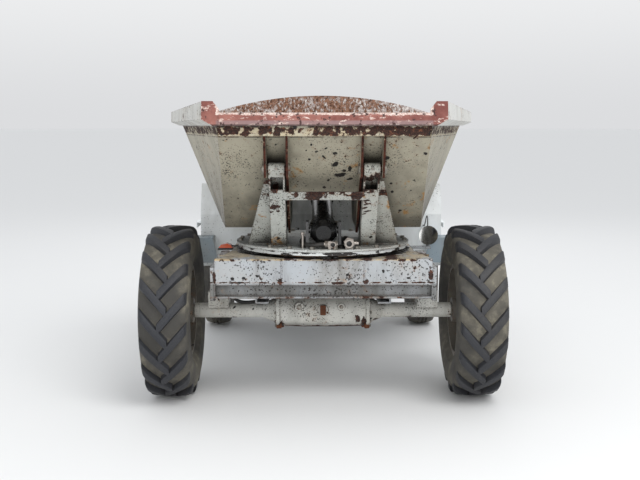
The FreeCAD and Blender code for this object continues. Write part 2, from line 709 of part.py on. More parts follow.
def headlamp():
    """Small round lamp on a stem at the rear right corner of the frame."""
    centre = lamp_centre()
    body = Part.makeCylinder(LAMP_R, 20, centre, V(0, 1, 0))
    bowl = Part.makeCone(LAMP_R, LAMP_R * 0.78, 22, centre + V(0, 20, 0), V(0, 1, 0))
    bowl_back = Part.makeCone(LAMP_R * 0.78, LAMP_R * 0.34, 18, centre + V(0, 42, 0), V(0, 1, 0))
    socket = Part.makeCylinder(LAMP_GLASS_R, 12, centre, V(0, 1, 0))
    low = LAMP_Z - LAMP_R - 24
    stem = rod_z(9, low, LAMP_Z - LAMP_R * 0.7, centre.x, centre.y + 20)
    arm = box(TOP_PLATE_BACK_HALF, centre.x + 12, centre.y, centre.y + 40, low, low + 12)
    foot = box(TOP_PLATE_BACK_HALF, TOP_PLATE_BACK_HALF + 8, centre.y, centre.y + 40, low, BEAM_TOP)
    return fuse([body, bowl, bowl_back, stem, arm, foot]).cut(socket)


def headlamp_glass():
    return Part.makeCylinder(LAMP_GLASS_R, 4, lamp_centre() + V(0, 1, 0), V(0, 1, 0))


def indicator():
    """Low lens on a bracket at the left side of the frame's top plate."""
    front = along(INDICATOR_Y)
    edge = TOP_PLATE_BACK_HALF
    bracket = box(edge, edge + 75, front, front + 60, BEAM_TOP - PLATE_T, BEAM_TOP)
    # columns: distance out from the plate's edge, height above it
    section = [(8, 0), (70, 0), (62, 13), (32, 20), (12, 12)]
    lens = prism_y([(edge + out, BEAM_TOP + rise) for out, rise in section], front + 8, front + 52)
    return mirrored(fuse([bracket, lens]))


def exhaust():
    """Silencer beside the engine, its inlet and a tail pipe down inside the rail."""
    start, end = ENGINE_START + 70, ENGINE_END - 60
    can = rod_y(SILENCER_R, along(start), along(end), SILENCER_X, SILENCER_Z)
    inlet = rod_x(17, SILENCER_X, -ENGINE_HALF, along(start + 60), SILENCER_Z)
    tail = rod_z(TAIL_PIPE_R, WEIGHT_LOW - 10, SILENCER_Z, TAIL_PIPE_X, along(end - 30))
    return fuse([can, inlet, tail])


def bonnet():
    """Engine cover, open below, with a grille opening in its back."""
    y0, y1 = along(BONNET_FRONT), along(BONNET_BACK)
    profile = [(y0 + 40, BONNET_TOP), (y0, BONNET_TOP - 60), (y0, BONNET_LOW), (y1, BONNET_LOW + 46),
               (y1, BONNET_TOP - 30), (y1 - 30, BONNET_TOP)]
    outer = prism_x(profile, -BONNET_HALF, BONNET_HALF)
    hollow = [(y0 + 40, BONNET_TOP - SHEET), (y0 + SHEET, BONNET_TOP - 60 - SHEET / 2),
              (y0 + SHEET, BONNET_LOW - 1), (y1 - SHEET, BONNET_LOW + 44),
              (y1 - SHEET, BONNET_TOP - 30 - SHEET / 2), (y1 - 30, BONNET_TOP - SHEET)]
    shell = outer.cut(prism_x(hollow, SHEET - BONNET_HALF, BONNET_HALF - SHEET))
    shell = shell.cut(box(-240, 240, y1 - 20, y1 + 20, 640, 840))
    hinge_y = along(BONNET_HINGE_Y)
    lugs = []
    for side in (1, -1):
        ends = sorted((side * (BONNET_LUG_X - 6), side * (BONNET_LUG_X + 6)))
        knuckle_ring = rod_x(13, ends[0], ends[1], hinge_y, BONNET_HINGE_Z)
        strap = box(ends[0], ends[1], y1 - SHEET, hinge_y, BONNET_HINGE_Z, BONNET_HINGE_Z + 13)
        rise = box(ends[0], ends[1], y1 - SHEET, y1 + 4, BONNET_HINGE_Z, BONNET_HINGE_Z + 60)
        lug_piece = fuse([knuckle_ring, strap, rise])
        lugs.append(lug_piece.cut(rod_x(BONNET_PIN_R + RUNNING, ends[0], ends[1], hinge_y, BONNET_HINGE_Z)))
    return fuse([shell] + lugs)


def rear_grille():
    y1 = along(BONNET_BACK)
    frame = box(-240, 240, y1 - SHEET, y1, 640, 840).cut(box(-222, 222, y1 - 20, y1 + 20, 658, 822))
    bars = [box(-222, 222, y1 - SHEET, y1, z, z + 9) for z in range(672, 815, 20)]
    return fuse([frame] + bars)


def seat_shell():
    y0 = along(SEAT_Y)
    base = box(-200, 200, y0, y0 + 400, BONNET_TOP, BONNET_TOP + 40)
    back = prism_x([(y0 + 390, BONNET_TOP), (y0 + 390, BONNET_TOP + 40), (y0 + 450, BACKREST_TOP),
                    (y0 + 470, BACKREST_TOP), (y0 + 412, BONNET_TOP)], -210, 210)
    return fuse([base, back])


def seat_cushion():
    y0 = along(SEAT_Y)
    pad = box(-210, 210, y0 - 10, y0 + 380, BONNET_TOP + 40, CUSHION_TOP)
    return pad.makeFillet(25, [edge for edge in pad.Edges if edge.BoundBox.ZMax > CUSHION_TOP - 1])


def seat_back():
    y0 = along(SEAT_Y)
    return prism_x([(y0 + 360, CUSHION_TOP + 20), (y0 + 408, BACKREST_TOP), (y0 + 449.8, BACKREST_TOP),
                    (y0 + 406.5, CUSHION_TOP + 20)], -205, 205)


def turntable_plate():
    """Round plate that slews, stepped below, with the lugs and pin of the tipping ram's base."""
    centre = along(SLEW_BACK)
    plate = rod_z(TURNTABLE_R, TURNTABLE_TOP - TURNTABLE_T, TURNTABLE_TOP, 0, centre)
    under = rod_z(TURNTABLE_R - TURNTABLE_STEP, TURNTABLE_LOW, TURNTABLE_TOP - TURNTABLE_T, 0, centre)
    plate = fuse([plate, under]).cut(rod_z(TURNTABLE_BORE_R, TURNTABLE_LOW, TURNTABLE_TOP, 0, centre))
    y, z = along(RAM_BASE_Y), RAM_BASE_Z
    lug_outline = [(y - 52, TURNTABLE_TOP), (y - 34, z + 40), (y + 34, z + 40), (y + 60, TURNTABLE_TOP)]
    lug_out = BASE_LUG_IN + BASE_LUG_T
    lugs = [prism_x(lug_outline, BASE_LUG_IN, lug_out), prism_x(lug_outline, -lug_out, -BASE_LUG_IN)]
    return fuse([plate] + lugs + [rod_x(PIN_R, -lug_out, lug_out, y, z)])


def wall_line(distance, offset):
    """A point on the chute wall's underside, by distance back from the lip, moved out by offset."""
    run = V(0, FLOOR_FRONT_Y - LIP_Y, SKIP_FLOOR - SKIP_TOP)
    run.normalize()
    out = V(0, run.z, -run.y)
    point = V(0, LIP_Y, SKIP_TOP) + run * distance + out * offset
    return (along(point.y), point.z)


def post_x():
    """Inner and outer face of the posts: they run between the hinge plates."""
    inner = TUNNEL_HALF + RIB_T + MOVING_GAP
    return inner, inner + POST_W


def posts():
    """Leaning box posts with their gussets, joined by the cross plate."""
    inner, outer = post_x()
    py, pz = along(PIVOT_Y), PIVOT_Z
    run = V(0, FLOOR_FRONT_Y - LIP_Y, SKIP_FLOOR - SKIP_TOP)
    run.normalize()
    ny, nz = -run.z * BOSS_R, run.y * BOSS_R
    front, back = along(POST_FOOT_FRONT), along(POST_FOOT_BACK)
    profile = [(front, TURNTABLE_TOP), (py - ny, pz - nz), (py + ny, pz + nz), (back, TURNTABLE_TOP)]
    pieces = []
    post = prism_x(profile, inner, outer)
    core = [(front + 16, TURNTABLE_TOP), (py - ny + 24, pz - nz - 12), (py + ny - 2, pz + nz - 26),
            (back - 16, TURNTABLE_TOP)]
    post = post.cut(prism_x(core, inner + POST_WALL, outer - POST_WALL))
    post = post.cut(box(inner + POST_WALL, outer - POST_WALL, py - 60, py + 60, WINDOW_LOW, WINDOW_TOP))
    boss = rod_x(BOSS_R, inner, outer, py, pz)
    middle = [(front + 70, TURNTABLE_TOP), (py + 4, pz), (py + 14, pz), (front + 80, TURNTABLE_TOP)]
    gusset = prism_x(middle, outer, GUSSET_FOOT_HALF)
    mask = prism_y([(outer, TURNTABLE_TOP), (outer, GUSSET_TOP), (outer + 20, GUSSET_TOP),
                    (GUSSET_FOOT_HALF, TURNTABLE_TOP)], py - 50, back + 50)
    post = fuse([post, boss, gusset.common(mask)])
    post = post.cut(rod_x(PIN_R + RUNNING, inner - 5, outer + 5, py, pz))
    share_low = (CROSS_LOW - TURNTABLE_TOP) / (pz - nz - TURNTABLE_TOP)
    share_top = (CROSS_TOP - TURNTABLE_TOP) / (pz - nz - TURNTABLE_TOP)
    y_low = front + (py - ny - front) * share_low
    y_top = front + (py - ny - front) * share_top
    section = [(y_low, CROSS_LOW), (y_top, CROSS_TOP),
               (y_top + CROSS_T, CROSS_TOP), (y_low + CROSS_T, CROSS_LOW)]
    cross = prism_x(section, -inner - POST_WALL, inner + POST_WALL)
    return fuse([post, mirrored(post), cross])


def hydraulic_fittings():
    """Hose unions on the turntable plate beside the ram."""
    y = along(RAM_BASE_Y - 72)
    z = TURNTABLE_TOP
    tee = fuse([rod_x(11, 2, 62, y, z + 20), rod_y(11, y - 20, y + 10, 40, z + 20),
                box(20, 34, y - 12, y + 12, z, z + 34)])
    hexagon = rod_y(22, y - 12, y + 22, 112, z + 24)
    block = box(96, 128, y - 6, y + 20, z, z + 20)
    pipe = rod_z(5, z, z + 70, -92, y + 14)
    return Part.makeCompound([tee, fuse([hexagon, block]), pipe])


def skip_outline():
    """Corner points of the skip on +X."""
    lip = V(LIP_HALF, along(LIP_Y), SKIP_TOP)
    front = V(FLOOR_FRONT_HALF, along(FLOOR_FRONT_Y), SKIP_FLOOR)
    back = V(FLOOR_BACK_HALF, along(FLOOR_BACK_Y), SKIP_FLOOR)
    wide = V(WIDE_HALF, along(WIDE_Y), SKIP_TOP)
    return lip, front, back, wide


def flat_face(corners):
    return Part.Face(Part.makePolygon(corners + corners[:1]))


def inward_plane(a, b, c, inside):
    """Unit normal and distance of the plane through three points, moved in by the plate's thickness."""
    normal = (b - a).cross(c - a)
    normal.normalize()
    if normal.dot(inside - a) < 0:
        normal = normal * -1
    return normal, normal.dot(a) + SKIP_T


def meeting_point(planes):
    """The point that three planes share."""
    (n1, d1), (n2, d2), (n3, d3) = planes
    total = n2.cross(n3) * d1 + n3.cross(n1) * d2 + n1.cross(n2) * d3
    return total * (1 / n1.dot(n2.cross(n3)))


def hopper(lip, front, back, wide):
    """Closed solid between four corner points on +X and their mirror images."""
    lip_l, front_l, back_l, wide_l = [V(-p.x, p.y, p.z) for p in (lip, front, back, wide)]
    faces = [
        flat_face([front, back, back_l, front_l]),
        flat_face([lip, front, front_l, lip_l]),
        flat_face([back, wide, wide_l, back_l]),
        flat_face([lip, wide, wide_l, lip_l]),
        flat_face([lip, back, front]),
        flat_face([lip_l, back_l, front_l]),
        flat_face([lip, wide, back]),
        flat_face([lip_l, wide_l, back_l]),
    ]
    solid = Part.Solid(Part.Shell(faces))
    if solid.Volume < 0:
        solid.reverse()
    return solid


def skip_shell():
    """Folded plate hopper, open above, with a tunnel over the ram and an arched back plate."""
    lip, front, back, wide = skip_outline()
    inside = V(0, (front.y + back.y) / 2, (SKIP_FLOOR + SKIP_TOP) / 2)
    across = V(100, 0, 0)
    floor = inward_plane(front, back, front - across, inside)
    chute = inward_plane(lip, front, lip - across, inside)
    rear = inward_plane(back, wide, back - across, inside)
    low_side = inward_plane(lip, back, front, inside)
    high_side = inward_plane(lip, wide, back, inside)
    top = (V(0, 0, 1), SKIP_TOP)
    hollow = hopper(meeting_point([chute, low_side, top]), meeting_point([floor, chute, low_side]),
                    meeting_point([floor, rear, low_side]), meeting_point([rear, high_side, top]))
    low = SKIP_FLOOR - 50
    y0, y1 = along(LIP_Y), along(WIDE_Y)
    solid = hopper(lip, front, back, wide).cut(box(-TUNNEL_HALF, TUNNEL_HALF, y0, y1, low, TUNNEL_TOP))
    wide_half = TUNNEL_HALF + SKIP_T
    hollow = hollow.cut(box(-wide_half, wide_half, y0, y1, low, TUNNEL_TOP + SKIP_T))
    shell = solid.cut(hollow)
    corner = WIDE_HALF - RIM_INSET - 2
    edges = [
        Part.LineSegment(V(ARCH_HALF, y1, ARCH_FOOT), V(corner, y1, SKIP_TOP)).toShape(),
        Part.LineSegment(V(corner, y1, SKIP_TOP), V(-corner, y1, SKIP_TOP)).toShape(),
        Part.LineSegment(V(-corner, y1, SKIP_TOP), V(-ARCH_HALF, y1, ARCH_FOOT)).toShape(),
        Part.Arc(V(-ARCH_HALF, y1, ARCH_FOOT), V(0, y1, ARCH_TOP), V(ARCH_HALF, y1, ARCH_FOOT)).toShape(),
    ]
    arch = Part.Face(Part.Wire(edges)).extrude(V(0, -SKIP_T, 0))
    flange = box(-LIP_HALF + 8, LIP_HALF - 8, y0 - 6, y0 + 14, FLANGE_LOW, SKIP_TOP)
    return fuse([shell, arch, flange])


# Section of the side rim at its front end: half width and height of each corner
RIM_SECTION = [(489, 1359), (445, 1359), (420.5, 1327.5), (420.5, SKIP_TOP), (447.5, SKIP_TOP), (491, 1287)]
RIM_INSET = 9.5
RIM_DROP = 27.0
RIM_WALL_SHARE = 0.86


def lip_bar():
    """Rounded bar along the lip with a capping plate at each corner."""
    front = along(-LIP_REACH)
    z = SKIP_TOP
    half = LIP_HALF - RIM_INSET
    bar = box(-half, half, front, front + 46, z, z + 52)
    bar = bar.makeFillet(20, [edge for edge in bar.Edges if edge.BoundBox.XLength > 100
                              and edge.BoundBox.ZMin > z + 50])
    caps = []
    for side in (1, -1):
        caps.append(prism_y([(side * x, height) for x, height in RIM_SECTION], front + 8, front + 20))
    return fuse([bar] + caps)


def rim_wires(share):
    """The rim's section at its front and back end, drawn in to a share of its size."""
    y = along(-LIP_REACH) + 20
    rise = max(z for x, z in RIM_SECTION) - SKIP_TOP
    wires = []
    for end_y, flare, drop in ((y, 0, 0), (along(WIDE_Y), WIDE_HALF - LIP_HALF, RIM_DROP)):
        corners = [V(x + flare, end_y, z - drop * (z - SKIP_TOP) / rise) for x, z in RIM_SECTION]
        middle = V(sum(p.x for p in corners) / len(corners), end_y, sum(p.z for p in corners) / len(corners))
        drawn = [middle + (p - middle) * share for p in corners]
        wires.append(Part.makePolygon(drawn + drawn[:1]))
    return wires


def side_rims():
    """Hollow folded rim along each side, flaring outwards to the back."""
    outer = Part.makeLoft(rim_wires(1.0), True, True)
    inner = Part.makeLoft(rim_wires(RIM_WALL_SHARE), True, True)
    return pair(outer.cut(inner))


def hinge_plates():
    """Long inner ribs, short outer plates, their pivot pins and the ram's rear lugs."""
    py, pz = along(PIVOT_Y), PIVOT_Z
    inner, outer = post_x()
    low_front = (py - 40, pz - 36)
    low_back = (py + 30, pz - 36)
    long_rib = [wall_line(30, 0), (along(LIP_Y) + 14, FLANGE_LOW), low_front, low_back,
                (along(FLOOR_FRONT_Y) - 30, SKIP_FLOOR - 22), (along(FLOOR_FRONT_Y) + 20, SKIP_FLOOR - 22),
                (along(FLOOR_FRONT_Y) + 20, SKIP_FLOOR), (along(FLOOR_FRONT_Y), SKIP_FLOOR)]
    short_rib = [wall_line(30, 0), (along(LIP_Y) + 14, FLANGE_LOW), low_front, low_back, wall_line(270, 0)]
    pieces = [
        prism_x(long_rib, TUNNEL_HALF, TUNNEL_HALF + RIB_T),
        prism_x(short_rib, outer + MOVING_GAP, outer + MOVING_GAP + RIB_T),
        rod_x(PIN_R, TUNNEL_HALF - 2, outer + MOVING_GAP + RIB_T + 4, py, pz),
    ]
    side = fuse(pieces)
    ay, az = ram_eye()
    slope = (WIDE_Y - FLOOR_BACK_Y) / (SKIP_TOP - SKIP_FLOOR)
    root = along(FLOOR_BACK_Y) + slope * (TUNNEL_TOP - SKIP_FLOOR)
    high = TUNNEL_TOP + 140
    lug_outline = [(root, TUNNEL_TOP), (root + slope * 140, high), (ay + 36, az + 20), (ay + 20, az - 30),
                   (ay - 20, az - 30)]
    rear = prism_x(lug_outline, EYE_HALF + MOVING_GAP, EYE_HALF + MOVING_GAP + 12)
    return Part.makeCompound([side, mirrored(side), rear, mirrored(rear)])


def ram_eye():
    """Row (y, z) of the rod's eye at rest."""
    a = math.radians(RAM_REST_DEG)
    return along(RAM_BASE_Y) + RAM_LENGTH * math.cos(a), RAM_BASE_Z + RAM_LENGTH * math.sin(a)


def ram_place(shape):
    """Lay a piece drawn along +Y from the base pin at the ram's rest angle."""
    shape.rotate(V(0, 0, 0), V(1, 0, 0), RAM_REST_DEG)
    shape.translate(V(0, along(RAM_BASE_Y), RAM_BASE_Z))
    return shape


def ram_barrel():
    """Barrel with a blunt closed end that its base pin crosses, and a gland at the rod's end."""
    tube = rod_y(BARREL_R, BASE_CAP_END - 10, BARREL_END, 0, 0)
    cap = rod_y(BASE_CAP_R, 22 - BASE_CAP_NOSE, BASE_CAP_END, 0, 0)
    nose = Part.makeCone(EYE_R, BASE_CAP_R, 22, V(0, -BASE_CAP_NOSE, 0), V(0, 1, 0))
    eye = rod_x(EYE_R, -BASE_LUG_IN + MOVING_GAP, BASE_LUG_IN - MOVING_GAP, 0, 0)
    gland = rod_y(BARREL_R + 6, BARREL_END - 40, BARREL_END, 0, 0)
    whole = fuse([tube, cap, nose, eye, gland])
    whole = whole.cut(rod_y(BARREL_BORE, 50, BARREL_END - 30, 0, 0))
    whole = whole.cut(rod_y(ROD_R + RUNNING, 50, BARREL_END + 1, 0, 0))
    whole = whole.cut(rod_x(PIN_R + RUNNING, -BASE_LUG_IN, BASE_LUG_IN, 0, 0))
    return ram_place(whole)


def ram_rod():
    rod = rod_y(ROD_R, 60, RAM_LENGTH - 20, 0, 0)
    piston = rod_y(BARREL_BORE - RUNNING, 60, 84, 0, 0)
    eye = rod_x(EYE_R - 4, -EYE_HALF, EYE_HALF, RAM_LENGTH, 0)
    pin = rod_x(PIN_R, -EYE_HALF - MOVING_GAP + 1, EYE_HALF + MOVING_GAP - 1, RAM_LENGTH, 0)
    return ram_place(fuse([rod, piston, eye, pin]))


def rear_tyre(side):
    return tyre_carcass(REAR_TYRE_R, REAR_TYRE_W, REAR_RIM_R, REAR_RIM_HALF, REAR_TYRE_SIDES,
                        side * REAR_TRACK / 2, REAR_AXLE_Y, REAR_TYRE_R, side)


def build():
    nodes = {
        "front_frame": front_frame(),
        "chassis_rails": chassis_rails(),
        "slew_ring": slew_ring(),
        "front_axle": front_axle(),
        "axle_clamps": axle_clamps(),
        "driveline": driveline(),
        "engine": engine(),
        "rear_axle": rear_axle(),
        "scuttle_panel": scuttle_panel(),
        "footplates": footplates(),
        "side_tanks": side_tanks(),
        "fenders": fenders(),
        "counterweight": counterweight(),
        "steering_column": steering_column(),
        "controls": controls(),
        "headlamp": headlamp(),
        "headlamp_glass": headlamp_glass(),
        "indicator": indicator(),
        "exhaust": exhaust(),
        "bonnet": bonnet(),
        "rear_grille": rear_grille(),
        "seat_shell": seat_shell(),
        "seat_cushion": seat_cushion(),
        "seat_back": seat_back(),
        "steering_wheel": steering_wheel(),
        "tie_rod": tie_rod(),
        "turntable_plate": turntable_plate(),
        "posts": posts(),
        "hydraulic_fittings": hydraulic_fittings(),
        "skip_shell": skip_shell(),
        "lip_bar": lip_bar(),
        "side_rims": side_rims(),
        "hinge_plates": hinge_plates(),
        "ram_barrel": ram_barrel(),
        "ram_rod": ram_rod(),
    }
    tyre = front_tyre(1)
    nodes["front_tyre_right"] = tyre
    nodes["front_tyre_left"] = mirrored(tyre)
    for name, side in (("right", 1), ("left", -1)):
        nodes["knuckle_" + name] = knuckle(side)
        nodes["rear_tyre_" + name] = rear_tyre(side)
        nodes["front_rim_" + name] = rim(FRONT_RIM_R, FRONT_RIM_HALF, FRONT_HUB_IN, FRONT_STUB_R,
                                         side * FRONT_TRACK / 2, FRONT_AXLE_Y, FRONT_TYRE_R, side)
        nodes["rear_rim_" + name] = rim(REAR_RIM_R, REAR_RIM_HALF, REAR_HUB_IN, REAR_STUB_R,
                                        side * REAR_TRACK / 2, REAR_AXLE_Y, REAR_TYRE_R, side)
    return nodes


def write(nodes):
    os.makedirs("parts", exist_ok=True)
    for name, shape in nodes.items():
        shape.exportStep(os.path.join("parts", name + ".step"))
        print("%-20s solids %d  valid %s" % (name, len(shape.Solids), shape.isValid()))


write(build())
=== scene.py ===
import json
import math
import random

import bmesh
import bpy
from mathutils import Matrix, Vector
from mathutils.bvhtree import BVHTree


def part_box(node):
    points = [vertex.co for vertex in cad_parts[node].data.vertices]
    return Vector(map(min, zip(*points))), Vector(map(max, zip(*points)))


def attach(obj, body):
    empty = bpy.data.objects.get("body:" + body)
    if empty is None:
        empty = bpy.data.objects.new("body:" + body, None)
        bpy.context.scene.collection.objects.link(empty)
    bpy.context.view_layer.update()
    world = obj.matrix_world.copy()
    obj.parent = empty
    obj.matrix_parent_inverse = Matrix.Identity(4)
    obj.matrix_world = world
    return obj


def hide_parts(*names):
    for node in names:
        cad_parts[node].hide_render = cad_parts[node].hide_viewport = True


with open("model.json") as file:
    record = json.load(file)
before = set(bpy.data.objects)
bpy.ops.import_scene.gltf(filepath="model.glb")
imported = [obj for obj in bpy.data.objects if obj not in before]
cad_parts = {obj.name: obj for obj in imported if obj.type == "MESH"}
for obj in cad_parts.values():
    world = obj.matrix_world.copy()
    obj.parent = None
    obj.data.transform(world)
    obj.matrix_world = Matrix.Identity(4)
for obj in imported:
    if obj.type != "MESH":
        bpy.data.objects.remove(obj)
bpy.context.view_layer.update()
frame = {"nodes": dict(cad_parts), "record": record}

NODES = frame["nodes"]
JOINTS = {joint["name"]: joint for joint in frame["record"]["behaviour"]["joints"]}


# Materials

def tone(red, green, blue):
    """A colour as it shows on a screen, 0 to 255, turned into the renderer's linear values."""
    linear = []
    for value in (red, green, blue):
        share = value / 255
        linear.append(share / 12.92 if share <= 0.04045 else ((share + 0.055) / 1.055) ** 2.4)
    return (*linear, 1.0)


class Shader:
    """One node tree, of a material or the world, and the few kinds of node that it is made of."""

    def __init__(self, name, owner=None):
        self.material = owner or bpy.data.materials.new(name)
        self.material.use_nodes = True
        self.tree = self.material.node_tree
        self.tree.nodes.clear()
        self.place = self.node("ShaderNodeTexCoord").outputs["Object"]

    def node(self, kind, inputs=None, **settings):
        made = self.tree.nodes.new(kind)
        for key, value in settings.items():
            setattr(made, key, value)
        for key, value in (inputs or {}).items():
            self.feed(made.inputs[key], value)
        return made

    def feed(self, socket, value):
        if isinstance(value, bpy.types.NodeSocket):
            self.tree.links.new(value, socket)
        else:
            socket.default_value = value

    def stretched(self, scale, turn=(0, 0, 0), shift=(0, 0, 0)):
        angles = [math.radians(angle) for angle in turn]
        inputs = {"Vector": self.place, "Scale": scale, "Location": shift, "Rotation": angles}
        return self.node("ShaderNodeMapping", inputs).outputs["Vector"]

    def moved(self, *shift):
        return self.stretched((1, 1, 1), shift=shift)

    def noise(self, scale, detail=4.0, roughness=0.6, where=None):
        inputs = {"Vector": where or self.place, "Scale": scale, "Detail": detail, "Roughness": roughness}
        return self.node("ShaderNodeTexNoise", inputs).outputs["Fac"]

    def step(self, value, low, high, start=0.0, end=1.0):
        inputs = {"Value": value, "From Min": low, "From Max": high, "To Min": start, "To Max": end}
        return self.node("ShaderNodeMapRange", inputs, interpolation_type="SMOOTHSTEP").outputs["Result"]

    def math(self, operation, first, second=0.0, clamp=False):
        made = self.node("ShaderNodeMath", {0: first, 1: second}, operation=operation, use_clamp=clamp)
        return made.outputs[0]

    def plus(self, first, second, clamp=False):
        return self.math("ADD", first, second, clamp)

    def times(self, first, second):
        return self.math("MULTIPLY", first, second)

    def swing(self, value, reach):
        """A value from 0 to 1 turned into one that swings to both sides of 0."""
        return self.times(self.math("SUBTRACT", value, 0.5), reach)

    def axis(self, letter):
        return self.node("ShaderNodeSeparateXYZ", {"Vector": self.place}).outputs[letter]

    def between(self, letter, low, high, soft):
        """1 where the place along an axis lies between low and high, with soft ends."""
        up = self.step(self.axis(letter), low, low + soft)
        down = self.step(self.axis(letter), high, high - soft)
        return self.times(up, down)

    def mix(self, share, first, second):
        made = self.node("ShaderNodeMix", {"Factor": share}, data_type="RGBA")
        self.feed(made.inputs[6], first)
        self.feed(made.inputs[7], second)
        return made.outputs[2]

    def edges(self):
        """1 on worn outer edges, 0 on flat faces."""
        rounded = self.node("ShaderNodeBevel", {"Radius": 0.006}, samples=4).outputs["Normal"]
        flat = self.node("ShaderNodeNewGeometry").outputs["Normal"]
        dot = self.node("ShaderNodeVectorMath", {0: rounded, 1: flat}, operation="DOT_PRODUCT")
        return self.step(dot.outputs["Value"], 0.985, 0.80)

    def openness(self, distance):
        """1 in the open, towards 0 where other faces stand close."""
        return self.node("ShaderNodeAmbientOcclusion", {"Distance": distance}, samples=6).outputs["AO"]

    def crevices(self, distance=0.10):
        """1 deep in corners, 0 in the open."""
        return self.step(self.openness(distance), 0.75, 0.15)

    def bump(self, height, strength, distance):
        inputs = {"Height": height, "Strength": strength, "Distance": distance}
        return self.node("ShaderNodeBump", inputs).outputs["Normal"]

    def surface(self, color, roughness, metallic, normal=None, **constants):
        inputs = {"Base Color": color, "Roughness": roughness, "Metallic": metallic}
        inputs.update({key.replace("_", " "): value for key, value in constants.items()})
        if normal is not None:
            inputs["Normal"] = normal
        made = self.node("ShaderNodeBsdfPrincipled", inputs)
        self.node("ShaderNodeOutputMaterial", {"Surface": made.outputs[0]})
        return self.material


def marks(s, places, ragged):
    """1 inside the ragged ovals that lie at the given places of the XZ plane."""
    nearest = None
    for x, z, long, high, turn_deg in places:
        inputs = {"Vector": s.place, "Location": (x, 0.0, z), "Scale": (long, 1000.0, high),
                  "Rotation": (0.0, math.radians(-turn_deg), 0.0)}
        oval = s.node("ShaderNodeMapping", inputs, vector_type="TEXTURE").outputs["Vector"]
        reach = s.node("ShaderNodeVectorMath", {0: oval}, operation="LENGTH").outputs["Value"]
        nearest = reach if nearest is None else s.math("MINIMUM", nearest, reach)
    border = s.swing(s.noise(70.0, 6.0, 0.7), ragged)
    return s.step(s.plus(nearest, border), 1.0, 0.92)


def round_chips(s, spots):
    """1 inside scattered round chips, of which more show with a higher spots."""
    drift = s.swing(s.noise(60.0, 3.0), 0.035)
    push = s.node("ShaderNodeCombineXYZ", {"X": drift, "Y": drift, "Z": drift}).outputs[0]
    pushed = s.node("ShaderNodeVectorMath", {0: s.place, 1: push}, operation="ADD").outputs[0]
    cells = s.node("ShaderNodeTexVoronoi", {"Vector": pushed, "Scale": 24.0}, feature="F1").outputs
    chance = s.node("ShaderNodeSeparateColor", {"Color": cells["Color"]}).outputs
    size = s.step(chance[1], 0.0, 1.0, 0.08, 0.24)
    chosen = s.math("LESS_THAN", chance[0], 0.30 * spots)
    return s.times(s.math("LESS_THAN", cells["Distance"], size), chosen)


